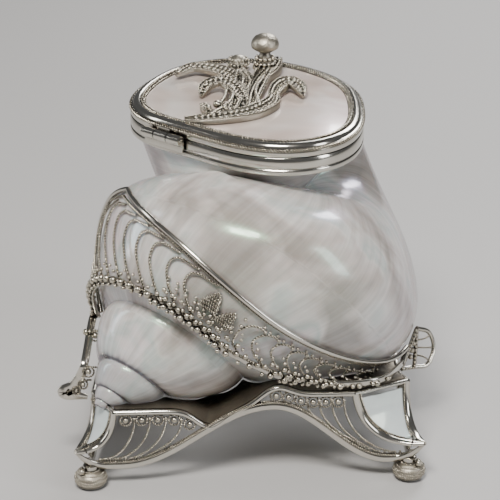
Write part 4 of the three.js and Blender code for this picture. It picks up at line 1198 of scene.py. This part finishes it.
# %% Granules of the band
rng = np.random.default_rng(7)
band_balls = []
for u in np.linspace(0.02, 0.47, 15):
    band_balls.append((band_point(u, 0.05, 1.1), 1.2))
    band_balls.append((band_point(u + 0.014, 0.0, 1.2), 0.6))
for u in np.linspace(0.035, 0.46, 14):
    band_balls.append((band_point(u, 0.12, 0.5), 0.62))
    band_balls.append((band_point(u + 0.008, 0.16, 0.2), 0.5))
CLUSTER = [
    (0.0, 0.0, 0.95, 1.0), (0.008, 0.09, 0.9, 0.85), (-0.008, 0.12, 0.8, 0.78), (0.002, 0.23, 0.85, 0.78),
    (0.01, 0.2, 0.5, 0.6), (0.0, 0.32, 0.2, 0.6), (-0.011, -0.04, 0.95, 0.66), (-0.006, 0.4, 0.0, 0.46),
]
CREST_BEADS = [(0.01, 0.0, 0.62), (0.003, 0.07, 0.5), (0.018, 0.04, 0.5), (0.012, -0.1, 0.42)]
FAN_BEADS = [
    (0.59, 0.3), (0.6, 0.25), (0.61, 0.29), (0.622, 0.33), (0.636, 0.27), (0.65, 0.24), (0.66, 0.28),
    (0.67, 0.4), (0.68, 0.55), (0.675, 0.7),
]
for u in np.linspace(0.5, 0.96, 19):
    for du, v, lift, size in CLUSTER:
        jitter = rng.normal(0, 0.12)
        band_balls.append((band_point(u + du, v, lift + 0.1), size * (1 + 0.5 * jitter)))
for crest in SCALLOPS_AT:
    for du, dv, size in CREST_BEADS:
        band_balls.append((band_point(crest + du, 0.7 + dv, size - 0.45), size))
band_balls += [(band_point(u, v, 0.9), 0.6) for u, v in FAN_BEADS]
granulated("band_granules", band_balls)

# %% [markdown]
# ## The side leaf and the rear leaf
#
# At the left the strip turns down into a polished band that widens to a crescent tip, with ringed
# balls inside it. At the right rear a beaded triangle and a round lobe stand on the stand's edge.

# %% Ringed balls
def ringed_ball(centre, normal, ring_radius, ball_radius, rings, balls):
    normal = unit(normal)
    across = unit(np.cross(normal, UP + 0.01))
    up = np.cross(across, normal)
    angle = np.linspace(0, 2 * math.pi, 17)[:, None]
    rings.append(centre + ring_radius * (across * np.cos(angle) + up * np.sin(angle)))
    balls.append((centre, ball_radius))


# %% The side leaf
RIM_STEPS = 80
leaf_top = strip_point(0.0) + vec(-1.8, 0, -1.6)
leaf_foot = LEFT.over(0.84, 1.8, -2)
leaf_rise = leaf_top[2] - leaf_foot[2]
leaf_rim = through([
    strip_point(0.0), leaf_top, leaf_foot + vec(-0.4, 0.4, leaf_rise * 0.72),
    leaf_foot + vec(-2, 0, leaf_rise * 0.4), leaf_foot + vec(-4, 0, leaf_rise * 0.2),
    leaf_foot + vec(-7, 0, leaf_rise * 0.1), leaf_foot + vec(-3.8, 0, 0.6), leaf_foot], RIM_STEPS)
rim_share = np.linspace(0, 1, len(leaf_rim))
rim_wide = mix(2.4, 4.2, smooth(rim_share, 0.3, 0.6)) * mix(1, 0.4, smooth(rim_share, 0.75, 1))
side_sections = np.stack([strip_section(wide, 1.0, 0.25) for wide in rim_wide])
side_rings, side_balls = [], []
for share, size in ((0.2, 1.25), (0.36, 1.2), (0.5, 1.0), (0.62, 0.8)):
    at = leaf_rim[int(share * RIM_STEPS)] + vec(1.7, -0.6, -0.4)
    ringed_ball(at, vec(0, -1, 0.2), size * 1.35, size * 0.8, side_rings, side_balls)
    side_rings.append(bezier([at + vec(-1.2, 0, 0.6), at + vec(0, 0, 1.6), at + vec(2.6, 0.6, 1.2)], 8))
for share in (0.06, 0.2):
    at = leaf_rim[int(share * RIM_STEPS)]
    side_balls += [(at + vec(-1.1, 0, 0.5), 1.05), (at + vec(0.2, -0.6, 0.9), 0.6)]
side_leaf = Blank().add(swept(leaf_rim, side_sections, vec(0, -1, 0)))
side_leaf.make("side_leaf_rim", POLISHED, "root", "silver", (), 50)
twisted("side_leaf_wires", side_rings + [leaf_rim[4:60] + vec(0.9, -0.3, 0)], strand=0.2, pitch=1.3,
        replaces=["side_leaf"])
granulated("side_leaf_balls", side_balls)

# %% The rear leaf
LOBE_STEPS = 40
rear_low, rear_outer = RIGHT.over(0.37, 0.2, 1.1), RIGHT.over(0.4, 4.6, 1.2)
rear_high = RIGHT.over(0.44, 5.4, 13.6)
rear_lobe = through([
    rear_high, RIGHT.over(0.48, 9.6, 11), RIGHT.over(0.47, 11.2, 6), RIGHT.over(0.43, 9, 1.4), rear_outer],
    LOBE_STEPS)
rear_metal = Blank()
rear_balls = []
for start, end in ((rear_low, rear_high), (rear_high, rear_outer), (rear_outer, rear_low)):
    line = mix(start, end, np.linspace(0, 1, 12)[:, None])
    rear_metal.add(swept(line, strip_section(1.3, 1.3, 0.3), RIGHT.along))
    rear_balls += [(point + vec(0, -0.75, 0.1), 0.5) for point in along_line(line, 1.15)]
rear_metal.add(swept(rear_lobe, strip_section(1.3, 1.5, 0.35), RIGHT.along))
rear_metal.make("rear_leaf_frame", POLISHED, "root", "silver", ["rear_leaf"], 50)
for share, size in ((0.28, 0.9), (0.45, 1.0), (0.62, 0.9), (0.78, 0.7)):
    rear_balls.append((mix(mix(rear_low, rear_outer, 0.5), rear_high, share), size))
granulated("rear_leaf_balls", rear_balls)
rear_ropes = [rear_lobe + vec(-0.2, -0.8, 0)]
for share in (0.3, 0.5, 0.7):
    start = mix(rear_outer, rear_high, share)
    rear_ropes.append(bezier([start, start + vec(3, 0, 0), rear_lobe[int(LOBE_STEPS * (1 - share))]], 8))
twisted("rear_leaf_wires", rear_ropes, strand=0.2, pitch=1.3)

# %% [markdown]
# ## The stand
#
# The sheet that carries the shell rises and falls with the stand's edge. It is stippled matte, and it
# is open where the shell sits through it. `room_left` measures how far a point is outside the shell, so
# the grid's cells inside it are dropped and the new edge is drawn on to the shell's surface.

# %% The wavy sheet
SHEET_THICKNESS, SHEET_SET_BACK, SHELL_ROOM, CORNER_ROOM = 1.2, 1.05, 0.35, 0.9
EDGE_PASSES, EDGE_STEP, EDGE_MOVE = 3, 0.05, 0.6
TIP_OUT, TIP_RISE, CORNER_BEND_SHARE, CORNER_BEND_Z, CORNER_STEPS = 5.6, 13.4, 0.85, 11.4, 48


def room_left(points):
    """Millimetres between points and the nearest whorl's surface, below nothing inside it."""
    offset = points - APEX
    height = offset @ AXIS
    radial = offset - height[..., None] * AXIS
    angle = np.arctan2(radial @ RISING_ARM, radial @ LEVEL_ARM) / (2 * math.pi)
    reach = np.linalg.norm(radial, axis=-1)
    room = np.full(height.shape, 1e3)
    for whole in range(-3, 2):
        turn = angle + whole
        half = TUBE_HALF_WIDTH * WIDENING ** np.clip(turn, -4, 1)
        x, y = reach - TUBE_REACH * half, height - TUBE_RISE * half
        beyond = np.hypot(x, y) - half * section_share(np.arctan2(y, x))
        room = np.where(turn <= 1, np.minimum(room, beyond), room)
    return room


class Corner:
    def __init__(self, at):
        here, before = SIDES[at], SIDES[at - 1]
        self.name = ("front_left", "front_right", "back_right", "back_left")[at]
        self.at = here.start
        self.out = unit(here.out + before.out)
        self.tip = self.at + self.out * TIP_OUT + UP * TIP_RISE
        self.arms = [here.along, -before.along]
        heads = ((here.along, here.ahead, here.top(np.array(here.ahead / here.length))),
                 (-before.along, before.behind, before.top(np.array(1 - before.behind / before.length))))
        self.edges = [bezier([self.at + arm * reach + UP * (top - EDGE_HEIGHT / 2),
                              self.at + arm * reach * CORNER_BEND_SHARE + UP * CORNER_BEND_Z, self.tip],
                             CORNER_STEPS)
                      for arm, reach, top in heads]


CORNERS = [Corner(at) for at in range(4)]


def sheet_point(u, v):
    near = FRONT.point(u, front_top(u), -SHEET_SET_BACK)
    far = BACK.point(1 - u, back_top(1 - u), -SHEET_SET_BACK)
    point = mix(near, far, v[..., None])
    point[..., 2] -= side_dip(v) * u ** 2
    return point


def sheet_room(points):
    room = room_left(points) - SHELL_ROOM
    for corner in CORNERS:
        a, b = corner.edges[0][0], corner.edges[1][0]
        across = unit((b - a) * vec(1, 1, 0))
        inward = -corner.out - across * float(-corner.out @ across)
        room = np.minimum(room, (points - a) @ unit(inward) - CORNER_ROOM)
    return room


across, deep = np.meshgrid(np.linspace(0.011, 0.989, 150), np.linspace(0, 1, 120), indexing="ij")
grid = sheet_point(across, deep)
room = sheet_room(grid)
kept = room > 0
cell_kept = kept[:-1, :-1] & kept[1:, :-1] & kept[1:, 1:] & kept[:-1, 1:]
number = np.arange(grid.shape[0] * grid.shape[1]).reshape(grid.shape[:2])
quads = np.stack([number[:-1, :-1], number[1:, :-1], number[1:, 1:], number[:-1, 1:]], -1)
cells, dropped = quads[cell_kept], quads[~cell_kept]
flat = grid.reshape(-1, 3)
on_edge = np.intersect1d(cells, dropped)
for _ in range(EDGE_PASSES):
    here = sheet_room(flat[on_edge])
    slope = np.stack([(sheet_room(flat[on_edge] + axis * EDGE_STEP) - here) / EDGE_STEP
                      for axis in (vec(1, 0, 0), vec(0, 1, 0))], -1)
    move = -here[:, None] * slope / np.maximum((slope ** 2).sum(-1, keepdims=True), 0.2)
    flat[on_edge, :2] += np.clip(move, -EDGE_MOVE, EDGE_MOVE)
used = np.unique(cells)
renumber = np.zeros(len(flat), int)
renumber[used] = np.arange(len(used))
sheet_mesh = bpy.data.meshes.new("stand_sheet_top")
sheet_mesh.from_pydata(placed(flat[used]).tolist(), [], renumber[cells].tolist())
sheet_source = bpy.data.objects.new("sheet_source", sheet_mesh)
bpy.context.scene.collection.objects.link(sheet_source)
thicken = sheet_source.modifiers.new("thickness", "SOLIDIFY")
thicken.thickness = SHEET_THICKNESS * MM
thicken.offset = -1
sheet_solid = bpy.data.meshes.new_from_object(
    sheet_source.evaluated_get(bpy.context.evaluated_depsgraph_get()))
bpy.data.objects.remove(sheet_source)
dress("wavy_sheet", sheet_solid, STIPPLED, "root", ["stand_sheet"], 40)

# %% [markdown]
# Each side is a polished strap along the arch and a polished edge under the sheet. Ringed balls hang
# below the edge, and twisted wires fall from between them and run out along the strap.

# %% Aprons
FRONT_BALLS = [0.113, 0.163, 0.212, 0.263, 0.311, 0.54, 0.579, 0.618, 0.656, 0.694, 0.733, 0.772]
FRONT_WIRES = [(0.14, 0.035), (0.188, 0.07), (0.237, 0.12), (0.286, 0.18), (0.675, 0.8), (0.714, 0.85),
               (0.753, 0.9), (0.79, 0.95)]
STRAP_INSET, BALL_ROOM, RING_RADIUS, BALL_RADIUS = 4.1, 2.4, 1.65, 0.95


def apron_marks(side):
    if side is FRONT:
        return FRONT_BALLS, FRONT_WIRES
    first, last = 0.19, 0.81
    count = side.wires
    left_heads, right_heads = np.linspace(first, 0.36, count), np.linspace(0.64, last, count)
    balls = np.linspace(first - 0.02, last + 0.02, 15)
    wires = [(head, 0.05 + 0.55 * (head - first)) for head in left_heads]
    wires += [(head, 0.95 - 0.55 * (last - head)) for head in right_heads]
    return list(balls), wires


for side in SIDES:
    strap_from = STRAP_INSET / side.length
    strap_u = np.linspace(strap_from, 1 - strap_from, 90)
    edge_u = np.linspace(side.ahead / side.length, 1 - side.behind / side.length, 90)
    strap_section = strip_section(STRAP_THICKNESS, STRAP_HEIGHT, 0.35)
    edge_section = strip_section(STRAP_THICKNESS + 0.1, EDGE_HEIGHT, 0.45)
    strap_line = side.point(strap_u, side.low(strap_u) + STRAP_HEIGHT / 2)
    edge_line = side.point(edge_u, side.top(edge_u) - EDGE_HEIGHT / 2)
    metal = Blank().add(swept(strap_line, strap_section)).add(swept(edge_line, edge_section))
    metal.make(f"{side.name}_strap", POLISHED, "root", "silver", [f"apron_{side.name}"], 50)
    balls_at, wires_at = apron_marks(side)
    rope_u = np.linspace(strap_from * 0.4, 1 - strap_from * 0.4, 140)
    lines = [side.over_strap(rope_u, 0.35, 0.1), side.over_strap(strap_u, 0.2, 0.75)]
    balls = []
    for u in balls_at:
        room = side.top(u) - EDGE_HEIGHT - side.low(u) - STRAP_HEIGHT
        if room > BALL_ROOM:
            size = min(RING_RADIUS, room / 2 - 0.1)
            ringed_ball(side.under_edge(u, size), side.out + UP * 0.1, size, BALL_RADIUS, lines, balls)
    for head, foot in wires_at:
        top, end = side.under_edge(head, 1.4), side.over_strap(foot, 0.9)
        knee = side.point(head, mix(top[2], end[2], 0.45), WIRE_OUT)
        run = side.over_strap(mix(head, foot, 0.4), 0.8)
        lines.append(bezier([top, knee, run, end], 20))
        balls.append((top + UP * 0.2, 0.55))
    for u in np.linspace(0.03, 0.16, 9):
        balls += [(side.over_strap(u, 1.1), 0.4), (side.over_strap(1 - u, 1.1), 0.4)]
    twisted(f"{side.name}_wires", lines, strand=0.22, pitch=1.5)
    granulated(f"{side.name}_balls", balls)

# %% [markdown]
# The corners are leaves of silver that bow out to a point, each set with a slip of nacre behind a
# twisted wire. The straps' ends run up to the same point, and a button foot stands below it.

# %% The frame of a corner
TOE_REACH, TOE_STEPS, ROPE_POINTS = 4.4, 24, 38
FOOT_HEIGHT, FOOT_RIM_Z = 6.0, 3.0
STEM_PROFILE = [(1.2, 0), (2.2, 0.3), (2.2, 1.4), (1.2, 1.9)]


def border_strip(edge, other, out):
    """The strip of silver inside one edge of a corner, and the line of the rope on it."""
    inward = unit(other - edge)
    inward[-1] = inward[-2]
    reach_across = np.linalg.norm(other - edge, axis=1) * 0.5 + 0.8
    wide = np.minimum(mix(2.1, 2.9, np.linspace(0, 1, len(edge))), reach_across)
    normal = unit(np.cross(np.gradient(edge, axis=0), inward))
    normal *= np.sign(normal @ out)[:, None]
    centre = edge + inward * (wide / 2 - 0.7)[:, None]
    sections = np.stack([strip_section(width, 1.3, 0.3) for width in wide])
    rope = edge + inward * (wide - 0.35)[:, None] + normal * 0.55
    return swept(centre, sections, normal), rope[:ROPE_POINTS]


def make_frame(corner):
    metal, ropes = Blank(), []
    for edge, other in (corner.edges, corner.edges[::-1]):
        strip, rope = border_strip(edge, other, corner.out)
        metal.add(strip)
        ropes.append(rope)
    head_line = mix(corner.edges[0][0], corner.edges[1][0], np.linspace(0, 1, 8)[:, None])
    metal.add(swept(head_line, round_section(0.7, 10)))
    strap_end = corner.at + UP * (SKIRT_LOW_Z + STRAP_HEIGHT / 2)
    taper = mix(1.0, 0.3, np.linspace(0, 1, TOE_STEPS + 1) ** 2)
    toe_sections = np.stack([strip_section(STRAP_THICKNESS * t, STRAP_HEIGHT * t, 0.35 * t) for t in taper])
    for arm_direction in corner.arms:
        toe = bezier([strap_end + arm_direction * TOE_REACH, strap_end, corner.tip], TOE_STEPS)
        metal.add(swept(toe, toe_sections))
    metal.add(turned(corner.at + UP * (FOOT_HEIGHT - 0.3), STEM_PROFILE, 20))
    metal.make(f"corner_leaf_{corner.name}", POLISHED, "root", "silver", [f"corner_{corner.name}"], 50)
    twisted(f"corner_border_{corner.name}", ropes, strand=0.2, pitch=1.0)


# %% The slip of nacre in a corner
INLAY_FROM, INLAY_TO, INLAY_MARGIN, INLAY_BULGE, INLAY_THICKNESS = 0.06, 0.76, 2.1, 0.5, 0.8
INLAY_ROWS, INLAY_COLUMNS = 30, 12


def make_inlay(corner):
    place = np.linspace(INLAY_FROM, INLAY_TO, INLAY_ROWS) * (len(corner.edges[0]) - 1)
    near, far = [picked(edge, place) for edge in corner.edges]
    edge_share = np.minimum(INLAY_MARGIN / np.linalg.norm(far - near, axis=1), 0.45)
    v = mix(edge_share[:, None], 1 - edge_share[:, None], np.linspace(0, 1, INLAY_COLUMNS)[None])
    surface = mix(near[:, None], far[:, None], v[..., None])
    normal = unit(np.cross(np.gradient(surface, axis=0), np.gradient(surface, axis=1)))
    normal *= np.sign(np.sum(normal * corner.out, -1, keepdims=True))
    surface = surface + normal * (INLAY_BULGE * np.sin(math.pi * v))[..., None]
    back = surface - normal * INLAY_THICKNESS
    Blank().add(np.concatenate([surface, back[:, ::-1]], 1)).make(
        f"corner_nacre_{corner.name}", INLAY_NACRE, "root", "nacre_inlay", [f"inlay_{corner.name}"], 60)


# %% The granulated button under a corner
GRAIN_SPACING, GRAIN_DEPTH, GRAIN_RADIUS, GRAIN_SPREAD = 0.62, 0.98, 0.3, 0.06
above = FOOT_HEIGHT - FOOT_RIM_Z
FOOT_PROFILE = [
    (0.3, 0), (2.0, 0.05), (4.0, FOOT_RIM_Z * 0.35), (4.7, FOOT_RIM_Z * 0.7), (4.85, FOOT_RIM_Z),
    (4.6, FOOT_RIM_Z + above * 0.3), (3.9, FOOT_RIM_Z + above * 0.6), (2.6, FOOT_RIM_Z + above * 0.86),
    (1.2, FOOT_HEIGHT - 0.1), (0.2, FOOT_HEIGHT),
]
foot_rng = np.random.default_rng(11)


def make_foot(corner):
    Blank().add(turned(corner.at * vec(1, 1, 0), FOOT_PROFILE, 36)).make(
        f"button_{corner.name}", FROSTED, "root", "matte_silver", [f"foot_{corner.name}"], 60)
    grains = []
    for radius, height in FOOT_PROFILE[2:-1]:
        count = int(2 * math.pi * radius / GRAIN_SPACING)
        start = foot_rng.uniform(0, 1)
        for point in bead_ring(corner.at, radius * GRAIN_DEPTH, height, count, start):
            grains.append((point, GRAIN_RADIUS + foot_rng.uniform(0, GRAIN_SPREAD)))
    grains.append((corner.at + corner.out * 3.5 + UP * FOOT_HEIGHT, 1.15))
    granulated(f"foot_grains_{corner.name}", grains, detail=1)


# %% All four corners
for corner in CORNERS:
    make_frame(corner)
    make_inlay(corner)
    make_foot(corner)
print("corners:", [corner.name for corner in CORNERS])
